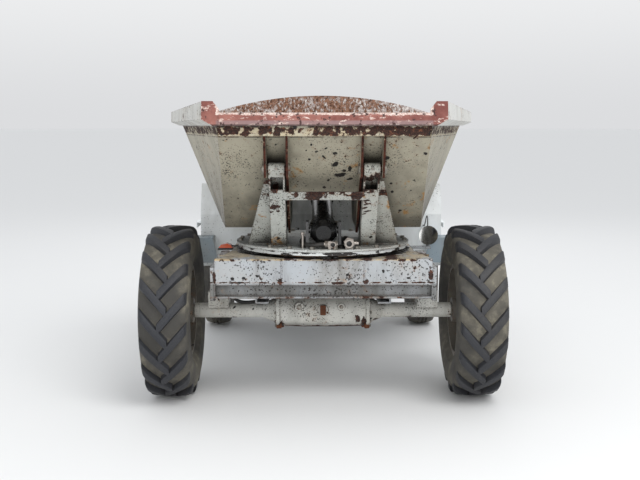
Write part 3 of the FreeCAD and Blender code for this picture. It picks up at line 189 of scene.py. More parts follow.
def worn_paint(name, paint, rust, specks, spots, grime_and_shade, edge, size=24.0, dot=150.0, ochre=0.0,
               zones=(), darker_along=None, bands=(), shades=(), scars=(), torn=()):
    """Old paint: fine dark specks, round black chips, rust in patches and along edges, dirt streaks, painted
    shade in corners and near-black painted shade in deep recesses.

    zones are (axis, low, high, amount): more rust where the place along that axis lies between low and high.
    soil is (axis, clean, dirty, amount): the paint darkens from one place along an axis to another; on the
    skip and the beam this is painted shade.
    bands are (axis, low, high, tone, amount): the paint has another tone there; on the skip one band is a
    painted shadow.
    shades are (x low, x high, z low, z high, amount): a mottled painted shade darkens everything there.
    scars are (x, z, half length, half height, turn in degrees): chips knocked down to black primer; on the
    skip one of them is a painted shadow.
    torn are the same for places where the paint has come off rusty steel.
    """
    s = Shader(name)
    broad = s.noise(2.6, 3.0)
    islands = s.noise(size, 7.0, 0.66)
    fine = s.noise(size * 5, 5.0, 0.7)
    wear = s.plus(islands, s.swing(broad, 0.35))
    wear = s.plus(wear, s.times(s.edges(), 0.16 * edge))
    for letter, low, high, amount in zones:
        near = s.between(letter, low, high, min(0.02, (high - low) / 3))
        wear = s.plus(wear, s.times(near, amount))
    level = 0.74 - 0.16 * rust
    bare = s.step(wear, level, level + 0.012)
    stain = s.step(wear, level - 0.06, level + 0.01)

    crowd = s.swing(s.noise(5.0, 4.0, 0.6, s.moved(7, 3, 1)), 0.45)
    dust = s.plus(s.noise(dot, 2.0, 0.55), crowd)
    level = 0.76 - 0.17 * specks
    dots = s.step(dust, level, level + 0.022)
    chip = round_chips(s, spots)

    dusty = s.noise(1.0, 5.0, 0.65, s.stretched((9, 9, 2.2)))
    # Dirt streaks, and painted shade in corners from the crevice mask, both towards one dirt tone
    dirt = s.plus(s.times(s.step(dusty, 0.42, 0.75), grime_and_shade), s.times(s.crevices(), 0.9 * grime_and_shade), clamp=True)
    aged = s.mix(s.step(broad, 0.35, 0.7, 0.0, 0.35), paint, tone(166, 158, 142))
    for letter, low, high, other, amount in bands:
        inside = s.between(letter, low, high, 0.003)
        share = s.times(inside, s.step(s.noise(17.0, 5.0), 0.38, 0.56, 0.0, amount))
        aged = s.mix(share, aged, other)
    aged = s.mix(s.times(dirt, 0.8), aged, tone(92, 86, 76))
    # Darker from one place to another along an axis: painted shade on the skip and the beam
    if darker_along:
        letter, lighter_at, darker_at, amount = darker_along
        depth = s.step(s.axis(letter), lighter_at, darker_at, 0.0, amount)
        aged = s.mix(s.times(depth, s.step(dusty, 0.30, 0.6, 0.55, 1.0)), aged, tone(74, 72, 66))
    aged = s.mix(s.times(stain, 0.45), aged, tone(142, 108, 78))
    if ochre:
        patch = s.step(s.noise(13.0, 6.0, 0.65, s.moved(2, 9, 4)), 0.60, 0.68)
        aged = s.mix(s.times(patch, ochre), aged, tone(160, 116, 58))

    brown = s.mix(s.step(fine, 0.38, 0.64), tone(22, 13, 10), tone(70, 41, 30))
    brown = s.mix(s.step(s.noise(size * 1.7, 4.0), 0.58, 0.72), brown, tone(112, 68, 46))
    color = s.mix(bare, aged, brown)
    color = s.mix(s.times(dots, 0.88), color, tone(40, 34, 31))
    color = s.mix(chip, color, tone(30, 24, 22))
    # Painted shade: near black deep in recesses, where other faces stand close
    color = s.mix(s.step(s.openness(0.12), 0.42, 0.10, 0.0, 0.85), color, tone(26, 23, 20))
    # Painted shade, mottled by the dust streaks, inside the given boxes
    for x_low, x_high, z_low, z_high, amount in shades:
        inside = s.times(s.between("X", x_low, x_high, 0.12), s.between("Z", z_low, z_high, 0.05))
        share = s.times(inside, s.step(dusty, 0.25, 0.6, 0.8 * amount, amount))
        color = s.mix(share, color, tone(34, 32, 29))
    flaw = s.math("MAXIMUM", s.math("MAXIMUM", bare, chip), s.times(dots, 0.6))
    for places, ragged, below in ((torn, 3.2, brown), (scars, 1.8, tone(26, 22, 20))):
        if places:
            gone = marks(s, places, ragged)
            color = s.mix(gone, color, below)
            flaw = s.math("MAXIMUM", flaw, gone)
    roughness = s.plus(s.times(bare, 0.30), s.times(dusty, 0.25))
    roughness = s.plus(roughness, 0.38, clamp=True)
    relief = s.math("SUBTRACT", s.times(fine, 0.22), flaw)
    return s.surface(color, roughness, 0.0, s.bump(relief, 0.4, 0.0012), Specular_IOR_Level=0.35)


SKIP_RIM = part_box("skip_shell")[1].z


def skip_inside():
    """Fine-grained rust inside the skip, with scraped paint and cement in dense specks."""
    s = Shader("skip_inside")
    grain = s.noise(70.0, 7.0, 0.75)
    scrape = s.noise(1.0, 8.0, 0.78, s.stretched((90, 90, 52), (0, 34, 0)))
    spread = s.noise(4.0, 4.0, 0.6, s.moved(3, 1, 2))
    rust = s.mix(s.step(grain, 0.38, 0.62), tone(74, 49, 39), tone(160, 122, 100))
    cement = s.mix(s.step(grain, 0.4, 0.6), tone(238, 232, 226), tone(160, 150, 148))
    share = s.step(s.plus(scrape, s.swing(spread, 0.5)), 0.480, 0.53)
    color = s.mix(s.times(share, 0.9), rust, cement)
    primer = s.step(s.noise(9.0, 4.0, 0.6, s.moved(5, 2, 8)), 0.70, 0.72)
    color = s.mix(primer, color, tone(176, 88, 66))
    color = s.mix(s.step(s.axis("Z"), SKIP_RIM - 0.02, SKIP_RIM, 0.0, 0.7), color, rust)
    height = s.plus(s.times(grain, 0.5), share)
    return s.surface(color, 0.88, 0.0, s.bump(height, 0.5, 0.003), Specular_IOR_Level=0.25)


# The lip bar's end, foot and top
LIP_END_X = 0.437
LIP_FOOT_Z = 1.266
LIP_TOP_Z = 1.312


def worn_red():
    """Dull red bar: rubbed to white in streaks and along its top edge, where the white is partly a painted
    highlight; grey and chipped along its lower one, with a painted shadow at its foot and painted shade in
    its corners.
    """
    s = Shader("worn_red")
    broad = s.noise(7.0, 5.0, 0.65)
    scuff = s.noise(1.0, 8.0, 0.72, s.stretched((26, 46, 70)))
    specks = s.noise(150.0, 5.0, 0.7)
    red = s.mix(s.step(broad, 0.38, 0.66), tone(112, 58, 50), tone(148, 94, 83))
    bar = s.step(s.math("ABSOLUTE", s.axis("X")), LIP_END_X, LIP_END_X - 0.010)
    low = s.step(s.axis("Z"), LIP_FOOT_Z + 0.021, LIP_FOOT_Z + 0.012)
    red = s.mix(s.times(s.times(low, bar), 0.65), red, tone(138, 120, 120))
    pale = s.mix(s.step(specks, 0.4, 0.6), tone(226, 210, 200), tone(176, 142, 130))
    # The white along the top edge is partly a painted highlight on the round bar's top
    top = s.times(s.step(s.axis("Z"), LIP_TOP_Z - 0.014, LIP_TOP_Z, 0.0, 0.24), bar)
    foot = s.times(s.step(s.axis("Z"), LIP_FOOT_Z + 0.008, LIP_FOOT_Z, 0.0, 0.07), bar)
    share = s.step(s.plus(s.plus(scuff, top), foot), 0.575, 0.63)
    color = s.mix(share, red, pale)
    color = s.mix(s.step(s.noise(46.0, 6.0), 0.59, 0.63), color, tone(62, 34, 30))
    # Painted shadow: near black along the bar's foot, where it sits on the flange
    color = s.mix(s.step(s.axis("Z"), LIP_FOOT_Z + 0.003, LIP_FOOT_Z, 0.0, 0.75), color, tone(44, 28, 24))
    # Painted shade in the bar's corners
    color = s.mix(s.times(s.crevices(0.05), 0.5), color, tone(60, 44, 40))
    height = s.plus(specks, s.noise(40.0, 6.0))
    return s.surface(color, s.step(specks, 0.2, 0.8, 0.5, 0.8), 0.0, s.bump(height, 0.4, 0.0015))


def flaked_ring():
    """White paint that has flaked from a greasy black rim in long pieces."""
    s = Shader("flaked_ring")
    flakes = s.noise(1.0, 7.0, 0.68, s.stretched((11, 11, 46)))
    white = s.step(flakes, 0.47, 0.485)
    fine = s.noise(140.0, 4.0, 0.65)
    paint = s.mix(s.step(fine, 0.60, 0.68), tone(206, 208, 206), tone(70, 60, 54))
    black = s.mix(s.step(fine, 0.5, 0.72), tone(18, 15, 13), tone(70, 50, 38))
    color = s.mix(white, black, paint)
    return s.surface(color, s.step(white, 0.0, 1.0, 0.42, 0.6), 0.0, s.bump(white, 0.5, 0.0025))


def metal(name, color, roughness, rust, metallic=0.9):
    """Bare or plated metal that has begun to rust."""
    s = Shader(name)
    fine = s.noise(70.0, 5.0, 0.7)
    spots = s.step(s.noise(30.0, 7.0, 0.7), 0.72 - 0.30 * rust, 0.76 - 0.28 * rust)
    shadow = tuple(0.7 * value for value in color[:3]) + (1.0,)
    tint = s.mix(s.step(fine, 0.35, 0.7), color, shadow)
    shade = s.mix(spots, tint, s.mix(fine, tone(52, 34, 26), tone(120, 72, 46)))
    shine = s.math("SUBTRACT", metallic, s.times(spots, metallic), clamp=True)
    rough = s.plus(s.times(spots, 0.4), s.step(fine, 0.2, 0.8, roughness, roughness + 0.18))
    return s.surface(shade, rough, shine, s.bump(s.plus(fine, spots), 0.18, 0.0008))


def rusted_edge():
    """A plate's edge that has lost its paint."""
    s = Shader("rusted_edge")
    fine = s.noise(60.0, 6.0, 0.7)
    color = s.mix(s.step(fine, 0.36, 0.60), tone(28, 15, 12), tone(76, 42, 31))
    color = s.mix(s.step(s.noise(26.0, 6.0, 0.7), 0.60, 0.64), color, tone(160, 142, 120))
    return s.surface(color, 0.85, 0.0, s.bump(fine, 0.4, 0.002), Specular_IOR_Level=0.2)


def bright_chrome():
    """Plated metal that still shines, with a few pits."""
    s = Shader("bright_chrome")
    pits = s.step(s.noise(240.0, 4.0, 0.6), 0.68, 0.72)
    color = s.mix(pits, tone(236, 236, 234), tone(96, 70, 54))
    shine = s.math("SUBTRACT", 1.0, pits)
    return s.surface(color, s.step(pits, 0.0, 1.0, 0.07, 0.6), shine, s.bump(pits, 0.1, 0.0004))


def greasy_black(name, paint, roughness, dust):
    """Gloss black with grease and dust on it."""
    s = Shader(name)
    fine = s.noise(40.0, 6.0, 0.65)
    film = s.step(s.noise(6.0, 5.0), 0.45, 0.7, 0.0, dust)
    color = s.mix(film, paint, tone(74, 66, 56))
    rough = s.plus(s.step(fine, 0.3, 0.7, roughness, roughness + 0.15), s.times(film, 0.5))
    return s.surface(color, rough, 0.0, s.bump(fine, 0.15, 0.001), Specular_IOR_Level=0.3, Coat_Weight=0.25,
                     Coat_Roughness=0.06)


def rubber(name, paint, dust, mud=tone(112, 104, 92), grain=180.0, roughness=0.72):
    """Rubber with dried mud in its hollows and streaks of dust."""
    s = Shader(name)
    broad = s.noise(4.0, 5.0, 0.6)
    fine = s.noise(grain, 4.0, 0.6)
    settled = s.plus(s.step(broad, 0.38, 0.72), s.times(s.crevices(0.05), 0.6), clamp=True)
    streaks = s.step(s.noise(26.0, 7.0, 0.7), 0.42, 0.68)
    share = s.times(s.times(settled, s.step(streaks, 0.0, 1.0, 0.45, 1.0)), dust)
    color = s.mix(s.step(fine, 0.3, 0.7, 0.0, 0.35), paint, tone(70, 69, 68))
    color = s.mix(share, color, mud)
    rough = s.plus(s.times(share, 0.2), roughness, clamp=True)
    height = s.plus(s.times(fine, 0.4), s.noise(60.0, 6.0, 0.7))
    return s.surface(color, rough, 0.0, s.bump(height, 0.22, 0.0015), Specular_IOR_Level=0.35)


def plastic():
    """Moulded plastic with a fine grain and a film of dust."""
    s = Shader("black_plastic")
    fine = s.noise(260.0, 3.0, 0.55)
    film = s.step(s.noise(5.0, 5.0), 0.45, 0.72, 0.0, 0.25)
    color = s.mix(film, tone(30, 30, 31), tone(120, 112, 100))
    rough = s.plus(s.step(fine, 0.3, 0.7, 0.45, 0.57), s.times(film, 0.3))
    return s.surface(color, rough, 0.0, s.bump(fine, 0.12, 0.0006))


def vinyl():
    """Grained seat cover with a faint crackle."""
    s = Shader("seat_vinyl")
    inputs = {"Vector": s.place, "Scale": 330.0}
    cells = s.node("ShaderNodeTexVoronoi", inputs, feature="DISTANCE_TO_EDGE").outputs["Distance"]
    grain = s.step(cells, 0.0, 0.25)
    worn = s.step(s.noise(9.0, 6.0), 0.48, 0.7, 0.0, 0.35)
    color = s.mix(worn, tone(30, 30, 31), tone(72, 68, 62))
    return s.surface(color, s.step(grain, 0.0, 1.0, 0.62, 0.44), 0.0, s.bump(grain, 0.3, 0.0006),
                     Sheen_Weight=0.1)


def ribs(s, scale):
    """Upright ribs moulded into a lamp's glass."""
    inputs = {"Vector": s.place, "Scale": scale}
    return s.node("ShaderNodeTexWave", inputs, bands_direction="X").outputs["Fac"]


def glass():
    s = Shader("lamp_glass")
    relief = s.bump(ribs(s, 40.0), 0.25, 0.001)
    return s.surface(tone(236, 240, 240), 0.06, 0.0, relief, IOR=1.48, Transmission_Weight=0.9)


def lens(name, tint):
    s = Shader(name)
    dirt = s.step(s.noise(40.0, 5.0), 0.5, 0.7, 0.0, 0.4)
    relief = s.bump(ribs(s, 60.0), 0.3, 0.001)
    return s.surface(s.mix(dirt, tint, tone(110, 90, 76)), 0.25, 0.0, relief, Coat_Weight=0.5)


WHITE = tone(170, 175, 180)
OFF_WHITE = tone(200, 200, 194)
BODY_WHITE = tone(240, 244, 245)
SKIP_GREY = tone(170, 164, 145)

# Chips and torn places: x, z, half length, half height, turn in degrees
AXLE_TORN = [
    (-0.140, 0.326, 0.050, 0.008, 0), (-0.020, 0.324, 0.070, 0.007, 0), (0.110, 0.326, 0.060, 0.008, 0),
    (0.190, 0.350, 0.012, 0.030, 0), (-0.192, 0.340, 0.012, 0.020, 0), (0.160, 0.372, 0.012, 0.018, 20),
    (-0.345, 0.361, 0.055, 0.006, 0), (-0.415, 0.364, 0.012, 0.009, 0), (0.350, 0.363, 0.035, 0.006, 0),
    (0.405, 0.366, 0.014, 0.010, 0),
]
BEAM_SCARS = [
    (-0.401, 0.595, 0.009, 0.008, 0), (-0.352, 0.598, 0.010, 0.006, 0), (-0.291, 0.606, 0.006, 0.006, 0),
    (-0.370, 0.577, 0.009, 0.005, 0), (-0.230, 0.615, 0.004, 0.004, 0), (0.104, 0.612, 0.007, 0.006, 0),
    (0.262, 0.628, 0.006, 0.009, 20), (0.371, 0.598, 0.008, 0.005, 0),
]
BEAM_TORN = [
    (-0.192, 0.582, 0.011, 0.016, 0), (-0.480, 0.600, 0.008, 0.026, 0), (-0.150, 0.681, 0.024, 0.006, 0),
    (-0.070, 0.682, 0.030, 0.005, 0), (0.030, 0.681, 0.036, 0.007, 0), (0.115, 0.682, 0.020, 0.005, 0),
    (0.190, 0.680, 0.026, 0.007, 0), (0.300, 0.682, 0.030, 0.004, 0), (0.186, 0.580, 0.014, 0.010, 0),
    (0.470, 0.610, 0.010, 0.030, 0), (0.060, 0.575, 0.030, 0.005, 0),
]
POST_TORN = [
    (-0.040, 0.966, 0.050, 0.024, 0), (-0.118, 0.974, 0.009, 0.018, 0), (0.138, 0.968, 0.030, 0.022, 10),
    (0.180, 0.946, 0.020, 0.004, 12), (0.186, 0.930, 0.018, 0.004, 16), (0.176, 0.912, 0.020, 0.004, 20),
    (0.188, 0.897, 0.016, 0.004, 14), (0.174, 0.884, 0.014, 0.003, 20), (-0.213, 0.916, 0.022, 0.010, 0),
    (-0.226, 0.893, 0.010, 0.004, 20), (-0.196, 0.897, 0.008, 0.005, 0), (-0.205, 1.000, 0.012, 0.022, 0),
]
# The large mark at (-0.153, 1.086), beside the inner hinge plate, is a painted shadow of the pivot pin
SKIP_SCARS = [
    (0.046, 1.102, 0.015, 0.011, 30), (0.071, 1.055, 0.026, 0.010, 5), (-0.002, 1.133, 0.012, 0.004, -45),
    (0.259, 1.129, 0.012, 0.008, 0), (0.260, 1.083, 0.015, 0.0035, 35), (0.290, 1.016, 0.006, 0.005, 0),
    (0.298, 0.977, 0.007, 0.006, 0), (-0.054, 1.185, 0.005, 0.005, 0), (0.0065, 1.170, 0.007, 0.004, 20),
    (-0.061, 1.123, 0.006, 0.005, 0), (-0.153, 1.086, 0.010, 0.018, 0), (0.112, 1.036, 0.014, 0.005, 15),
    (0.109, 1.083, 0.008, 0.014, 0), (0.020, 1.030, 0.007, 0.005, 30),
]

FINISH = {
    "frame": worn_paint("frame_paint", WHITE, 0.45, 0.5, 0.3, 0.5, edge=0.8),
    # The axle housing's paint darkens towards its bottom
    "axle": worn_paint(
        "axle_paint", OFF_WHITE, 0.50, 0.78, 0.7, 0.6, edge=1.3, ochre=0.25,
        zones=[("Z", 0.300, 0.342, 0.25)], darker_along=("Z", 0.365, 0.325, 0.7), torn=AXLE_TORN),
    # The beam's paint darkens below its channel's top: painted shade under the overhang
    "beam": worn_paint(
        "beam_paint", WHITE, 0.48, 0.84, 0.5, 0.90, edge=1.8, ochre=0.3, dot=105.0,
        zones=[("Z", 0.669, 0.6835, 0.10), ("Z", 0.572, 0.583, 0.16), ("Z", 0.494, 0.520, 0.10)],
        bands=[("Z", 0.6735, 0.6850, tone(188, 168, 130), 0.95)], darker_along=("Z", 0.577, 0.566, 0.62),
        scars=BEAM_SCARS, torn=BEAM_TORN),
    "plate": worn_paint("plate_paint", tone(192, 196, 194), 0.44, 0.6, 0.3, 0.6, edge=1.2),
    "posts": worn_paint(
        "posts_paint", tone(178, 180, 174), 0.52, 0.92, 0.7, 0.45, edge=1.8, ochre=0.9,
        zones=[("Z", 0.955, 1.075, 0.130), ("Z", 0.90, 0.955, 0.05)], torn=POST_TORN),
    # The skip's paint darkens towards the bottom: painted shade on its downward-facing front wall
    "skip": worn_paint(
        "skip_paint", SKIP_GREY, 0.42, 0.66, 0.9, 0.5, edge=0.8, size=36.0, ochre=0.8,
        zones=[("Z", 1.214, 1.268, 0.215)], darker_along=("Z", 1.20, 0.80, 0.66), scars=SKIP_SCARS,
        # The near-black band is a painted shadow under the lip bar; the last band is a thin dark line along
        # the flange's lower edge
        bands=[("Z", 1.216, 1.256, tone(178, 166, 138), 0.9), ("Z", 1.2525, 1.2680, tone(30, 22, 18), 1.0),
               ("Z", 1.2130, 1.2200, tone(50, 34, 26), 1.0)]),
    "rim": worn_paint("rim_paint", tone(214, 214, 210), 0.42, 0.45, 0.3, 0.35, edge=0.9, ochre=0.3),
    "hinge": worn_paint("hinge_paint", SKIP_GREY, 0.60, 0.4, 0.3, 0.6, edge=5.0),
    "body": worn_paint("body_paint", BODY_WHITE, 0.16, 0.40, 0.25, 0.22, edge=0.6),
    # The scuttle panel carries a mottled painted shade between the posts, behind the ram
    "scuttle": worn_paint(
        "scuttle_paint_and_shade", BODY_WHITE, 0.16, 0.40, 0.25, 0.20, edge=0.6,
        shades=[(-0.36, 0.36, 0.50, 1.14, 0.75)]),
    # The rims' dark grey is partly grime and partly painted shade of the wheels' hollows
    "wheel": worn_paint("wheel_paint_and_shade", tone(70, 68, 66), 0.52, 0.3, 0.2, 0.9, edge=0.8),
    "step": worn_paint("step_paint", tone(142, 156, 165), 0.28, 0.3, 0.1, 0.3, edge=0.8),
    "flaked": flaked_ring(),
    "inside": skip_inside(),
    "red": worn_red(),
    "ring": metal("ring_steel", tone(96, 84, 72), 0.5, 0.7),
    "steel": metal("bolt_steel", tone(150, 146, 138), 0.4, 0.45),
    "zinc": metal("zinc_steel", tone(176, 168, 160), 0.26, 0.35),
    "chrome": bright_chrome(),
    "rusted_edge": rusted_edge(),
    "rusty": metal("rusty_iron", tone(88, 58, 44), 0.8, 1.3, 0.1),
    "cast": metal("cast_iron", tone(92, 88, 82), 0.6, 0.65, 0.5),
    "engine": metal("engine_metal", tone(96, 98, 98), 0.5, 0.2, 0.6),
    "exhaust": metal("exhaust_steel", tone(110, 92, 78), 0.6, 0.85, 0.6),
    "black": greasy_black("gloss_black", tone(10, 10, 11), 0.22, 0.05),
    "grease": greasy_black("grease", tone(14, 12, 10), 0.3, 0.15),
    "tyre": rubber("tyre_rubber", tone(66, 64, 60), 1.0, tone(138, 132, 117)),
    "bar": rubber("tread_bar_rubber", tone(42, 44, 50), 0.20, tone(100, 95, 86), roughness=0.55),
    "hose": rubber("hose_rubber", tone(28, 28, 29), 0.3, grain=400.0, roughness=0.5),
    "plastic": plastic(),
    "vinyl": vinyl(),
    "glass": glass(),
    "amber": lens("amber_lens", tone(214, 84, 30)),
    "ruby": lens("red_lens", tone(150, 16, 14)),
}

# The nodes that carry each finish
FINISHED = {
    "amber": ["indicator"],
    "axle": ["front_axle", "axle_clamps", "rear_axle"],
    "beam": ["front_frame"],
    "black": ["ram_barrel"],
    "body": ["side_tanks", "fenders", "bonnet"],
    "cast": ["driveline", "knuckle_left", "knuckle_right"],
    "chrome": ["headlamp", "ram_rod"],
    "engine": ["engine"],
    "exhaust": ["exhaust"],
    "frame": ["chassis_rails", "counterweight"],
    "glass": ["headlamp_glass"],
    "hinge": ["hinge_plates"],
    "plastic": ["steering_column", "controls", "rear_grille", "seat_shell", "steering_wheel"],
    "plate": ["turntable_plate"],
    "posts": ["posts"],
    "red": ["lip_bar"],
    "rim": ["side_rims"],
    "ring": ["slew_ring"],
    "scuttle": ["scuttle_panel"],
    "skip": ["skip_shell"],
    "steel": ["tie_rod"],
    "step": ["footplates"],
    "tyre": ["front_tyre_left", "front_tyre_right", "rear_tyre_left", "rear_tyre_right"],
    "vinyl": ["seat_cushion", "seat_back"],
    "wheel": ["front_rim_left", "front_rim_right", "rear_rim_left", "rear_rim_right"],
    "zinc": ["hydraulic_fittings"],
}
for finish, node_names in FINISHED.items():
    for node_name in node_names:
        node_data = NODES[node_name].data
        node_data.materials.clear()
        node_data.materials.append(FINISH[finish])


def other_finish(node_name, finish, test):
    """Give the faces of a node whose centre and normal pass a test another finish."""
    data = NODES[node_name].data
    data.materials.append(FINISH[finish])
    for face in data.polygons:
        if test(face.center, face.normal):
            face.material_index = len(data.materials) - 1


# Half width of the hollow over the ram, whose flanks rise inside the skip
HOLLOW_HALF = 0.25


def open_above():
    """A test for the faces inside the skip: they look inwards or up, and no other face roofs them."""
    shell = NODES["skip_shell"].data
    low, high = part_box("skip_shell")
    corners = [vert.co for vert in shell.vertices]
    tree = BVHTree.FromPolygons(corners, [face.vertices for face in shell.polygons])
    middle = Vector(((low.x + high.x) / 2, (low.y + high.y) / 2, high.z + 0.2))

    def test(spot, normal):
        flank = abs(spot.x) < HOLLOW_HALF and spot.y < high.y - 0.08
        if not flank and normal.dot(middle - spot) <= 0:
            return False
        if spot.z <= low.z + 0.003 or normal.z <= -0.2:
            return False
        roof = tree.ray_cast(spot + normal * 0.002, Vector((0, 0, 1)))[0]
        return roof is None and abs(spot.x) < high.x - 0.004 and spot.y > low.y + 0.03

    return test


BEAM_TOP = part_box("front_frame")[1].z
LAMP_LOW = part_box("headlamp_glass")[0].z
TABLE_LOW, TABLE_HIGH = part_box("turntable_plate")
TABLE_MIDDLE_Y = (TABLE_LOW.y + TABLE_HIGH.y) / 2


def stepped_rim(spot, normal):
    """The upright faces of the stepped rim under the turntable's plate."""
    away = math.hypot(spot.x, spot.y - TABLE_MIDDLE_Y)
    return abs(normal.z) < 0.5 and spot.z < TABLE_LOW.z + 0.018 and away > 0.30


def greasy_middle(spot, normal):
    near = abs(spot.x) < 0.085 and abs(spot.y - TABLE_LOW.y - 0.24) < 0.10
    return near and spot.z > 0.7245


other_finish("skip_shell", "inside", open_above())
other_finish("headlamp", "frame", lambda spot, normal: spot.z < LAMP_LOW - 0.008)
other_finish("indicator", "grease", lambda spot, normal: spot.z < BEAM_TOP - 0.0005)
other_finish("controls", "steel", lambda spot, normal: 0.602 < spot.z < 0.887)
other_finish("hinge_plates", "rusted_edge", lambda spot, normal: abs(normal.x) < 0.5)
other_finish("turntable_plate", "flaked", stepped_rim)
other_finish("turntable_plate", "black", lambda spot, normal: spot.z > 0.7255 and abs(spot.x) < 0.080)
other_finish("turntable_plate", "grease", greasy_middle)


# Stage, light and camera

def linked(name, data):
    """A new object with this data, put into the scene."""
    made = bpy.data.objects.new(name, data)
    bpy.context.scene.collection.objects.link(made)
    return made


def pale_floor():
    s = Shader("floor")
    color = s.mix(s.step(s.noise(3.0, 3.0), 0.3, 0.7, 0.0, 0.05), tone(233, 233, 232), tone(227, 227, 225))
    finish = s.surface(color, 0.9, 0.0, Specular_IOR_Level=0.1)
    bpy.ops.mesh.primitive_circle_add(vertices=96, radius=300.0, fill_type="NGON", location=(0, 0, -0.001))
    floor = bpy.context.object
    floor.name = "floor"
    floor.data.materials.append(finish)


def backdrop():
    """A pale sweep where the camera and reflections look, and cool daylight on everything else."""
    world = bpy.data.worlds.new("studio")
    bpy.context.scene.world = world
    s = Shader("studio", world)
    rays = s.node("ShaderNodeLightPath").outputs
    seen = s.math("MAXIMUM", rays["Is Camera Ray"], rays["Is Glossy Ray"])
    direction = s.node("ShaderNodeTexCoord").outputs["Generated"]
    height = s.node("ShaderNodeSeparateXYZ", {0: direction}).outputs["Z"]
    sweep = s.mix(s.step(height, 0.0, 0.16), tone(220, 221, 223), tone(238, 239, 240))
    daylight = {"Color": (0.95, 0.97, 1.0, 1.0), "Strength": 0.88}
    lit = s.node("ShaderNodeBackground", daylight).outputs[0]
    shown = s.node("ShaderNodeBackground", {"Color": sweep, "Strength": 1.0}).outputs[0]
    mixed = s.node("ShaderNodeMixShader", {0: seen, 1: lit, 2: shown}).outputs[0]
    s.node("ShaderNodeOutputWorld", {0: mixed})


# Name, place, size and power of each soft lamp; all look at the same point
SOFT_LAMPS = [
    ("key", (2.4, -5.0, 5.6), 3.6, 232.0),
    ("front", (-1.2, -8.0, 2.4), 3.0, 100.0),
    ("back", (0.5, 5.5, 5.0), 4.0, 45.0),
]
LAMPS_LOOK_AT = Vector((0, 0, 0.5))


def soft_lamps():
    for name, place, size, power in SOFT_LAMPS:
        data = bpy.data.lights.new(name, "AREA")
        data.size = size
        data.energy = power
        lamp = linked(name, data)
        lamp.location = place
        lamp.rotation_euler = (LAMPS_LOOK_AT - Vector(place)).to_track_quat("-Z", "Y").to_euler()


# The camera of the photograph: it stands in front, a little above the skip's lip
CAMERA_PLACE = (-0.055, -5.175, 1.265)
CAMERA_DOWN_DEG = 6.87
CAMERA_RIGHT_DEG = 0.54
CAMERA_LENS_MM = 53.7


def camera():
    data = bpy.data.cameras.new("camera")
    data.sensor_width = 36.0
    data.lens = CAMERA_LENS_MM
    made = linked("camera", data)
    made.location = CAMERA_PLACE
    made.rotation_euler = (math.radians(90 - CAMERA_DOWN_DEG), 0, -math.radians(CAMERA_RIGHT_DEG))
    bpy.context.scene.camera = made


# Making pieces

RIGHT = Vector((1, 0, 0))
BACK = Vector((0, 1, 0))
UP = Vector((0, 0, 1))


def riding(name, data, finish, body):
    """Put a mesh or curve into the scene as a piece that rides on a body."""
    made = linked(name, data)
    data.materials.append(FINISH[finish])
    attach(made, body)
    return made


def piece(name, mesh, finish, body, sharp_deg=35.0):
    """A piece from a bmesh, smooth but for its sharp edges."""
    data = bpy.data.meshes.new(name)
    bmesh.ops.recalc_face_normals(mesh, faces=mesh.faces)
    mesh.to_mesh(data)
    mesh.free()
    data.polygons.foreach_set("use_smooth", [True] * len(data.polygons))
    data.set_sharp_from_angle(angle=math.radians(sharp_deg))
    return riding(name, data, finish, body)


def tube(name, points, radius, body, resolution=6):
    """A round hose or wire along a smooth line."""
    data = bpy.data.curves.new(name, "CURVE")
    data.dimensions = "3D"
    data.bevel_depth = radius
    data.bevel_resolution = resolution
    data.use_fill_caps = True
    spline = data.splines.new("NURBS")
    spline.points.add(len(points) - 1)
    for target, point in zip(spline.points, points):
        target.co = (*point, 1.0)
    spline.order_u = 3
    spline.use_endpoint_u = True
    data.resolution_u = 10
    riding(name, data, "hose", body)


def loft(mesh, rings, closed=False):
    """Faces from ring to ring of vertices, with both ends capped or, if closed, joined to each other."""
    faces = []
    pairs = list(zip(rings, rings[1:]))
    if closed:
        pairs.append((rings[-1], rings[0]))
    for first, second in pairs:
        for index in range(len(first)):
            after = (index + 1) % len(first)
            faces.append(mesh.faces.new((first[index], first[after], second[after], second[index])))
    if not closed:
        faces.append(mesh.faces.new(rings[0]))
        faces.append(mesh.faces.new(rings[-1]))
    return faces


def turned(mesh, outline, centre, axis, count=32, closed=False):
    """Turn (u, r) points about an axis through centre; u runs along the axis."""
    axis = Vector(axis).normalized()
    side = axis.orthogonal().normalized()
    other = axis.cross(side)
    rings = []
    for u, r in outline:
        ring = []
        for index in range(count):
            angle = 2 * math.pi * index / count
            away = side * math.cos(angle) + other * math.sin(angle)
            ring.append(mesh.verts.new(Vector(centre) + axis * u + away * r))
        rings.append(ring)
    loft(mesh, rings, closed)


def hexagon(mesh, centre, axis, radius, height):
    """A bolt's head with a chamfered top and a washer under it."""
    turned(mesh, [(0, radius * 1.25), (0.0016, radius * 1.25), (0.0016, radius * 0.9)], centre, axis, 20)
    turned(mesh, [(0.0012, radius), (height * 0.82, radius), (height, radius * 0.84)], centre, axis, 6)


def nut(mesh, centre, axis, height, radius, wide, chamfer=0.0015):
    """A six-sided nut, narrower at both ends."""
    turned(mesh, [(0, radius), (chamfer, wide), (height - chamfer, wide), (height, radius)], centre, axis, 6)


def block(mesh, low, high, bevel):
    """A box with its edges broken."""
    made = bmesh.ops.create_cube(mesh, size=1.0)["verts"]
    for vert in made:
        vert.co = Vector([low[i] if vert.co[i] < 0 else high[i] for i in range(3)])
    edges = list({edge for vert in made for edge in vert.link_edges})
    bmesh.ops.bevel(mesh, geom=edges, offset=bevel, segments=2, affect="EDGES", profile=0.6)


def weld_bead(mesh, start, end, radius, seed):
    """A rippled bead of weld between two points."""
    draw = random.Random(seed)
    start, end = Vector(start), Vector(end)
    line = end - start
    count = max(4, int(line.length / 0.005))
    outline = []
    for index in range(count + 1):
        outline.append((line.length * index / count, radius * draw.uniform(0.82, 1.12)))
    turned(mesh, outline, start, line, 8)


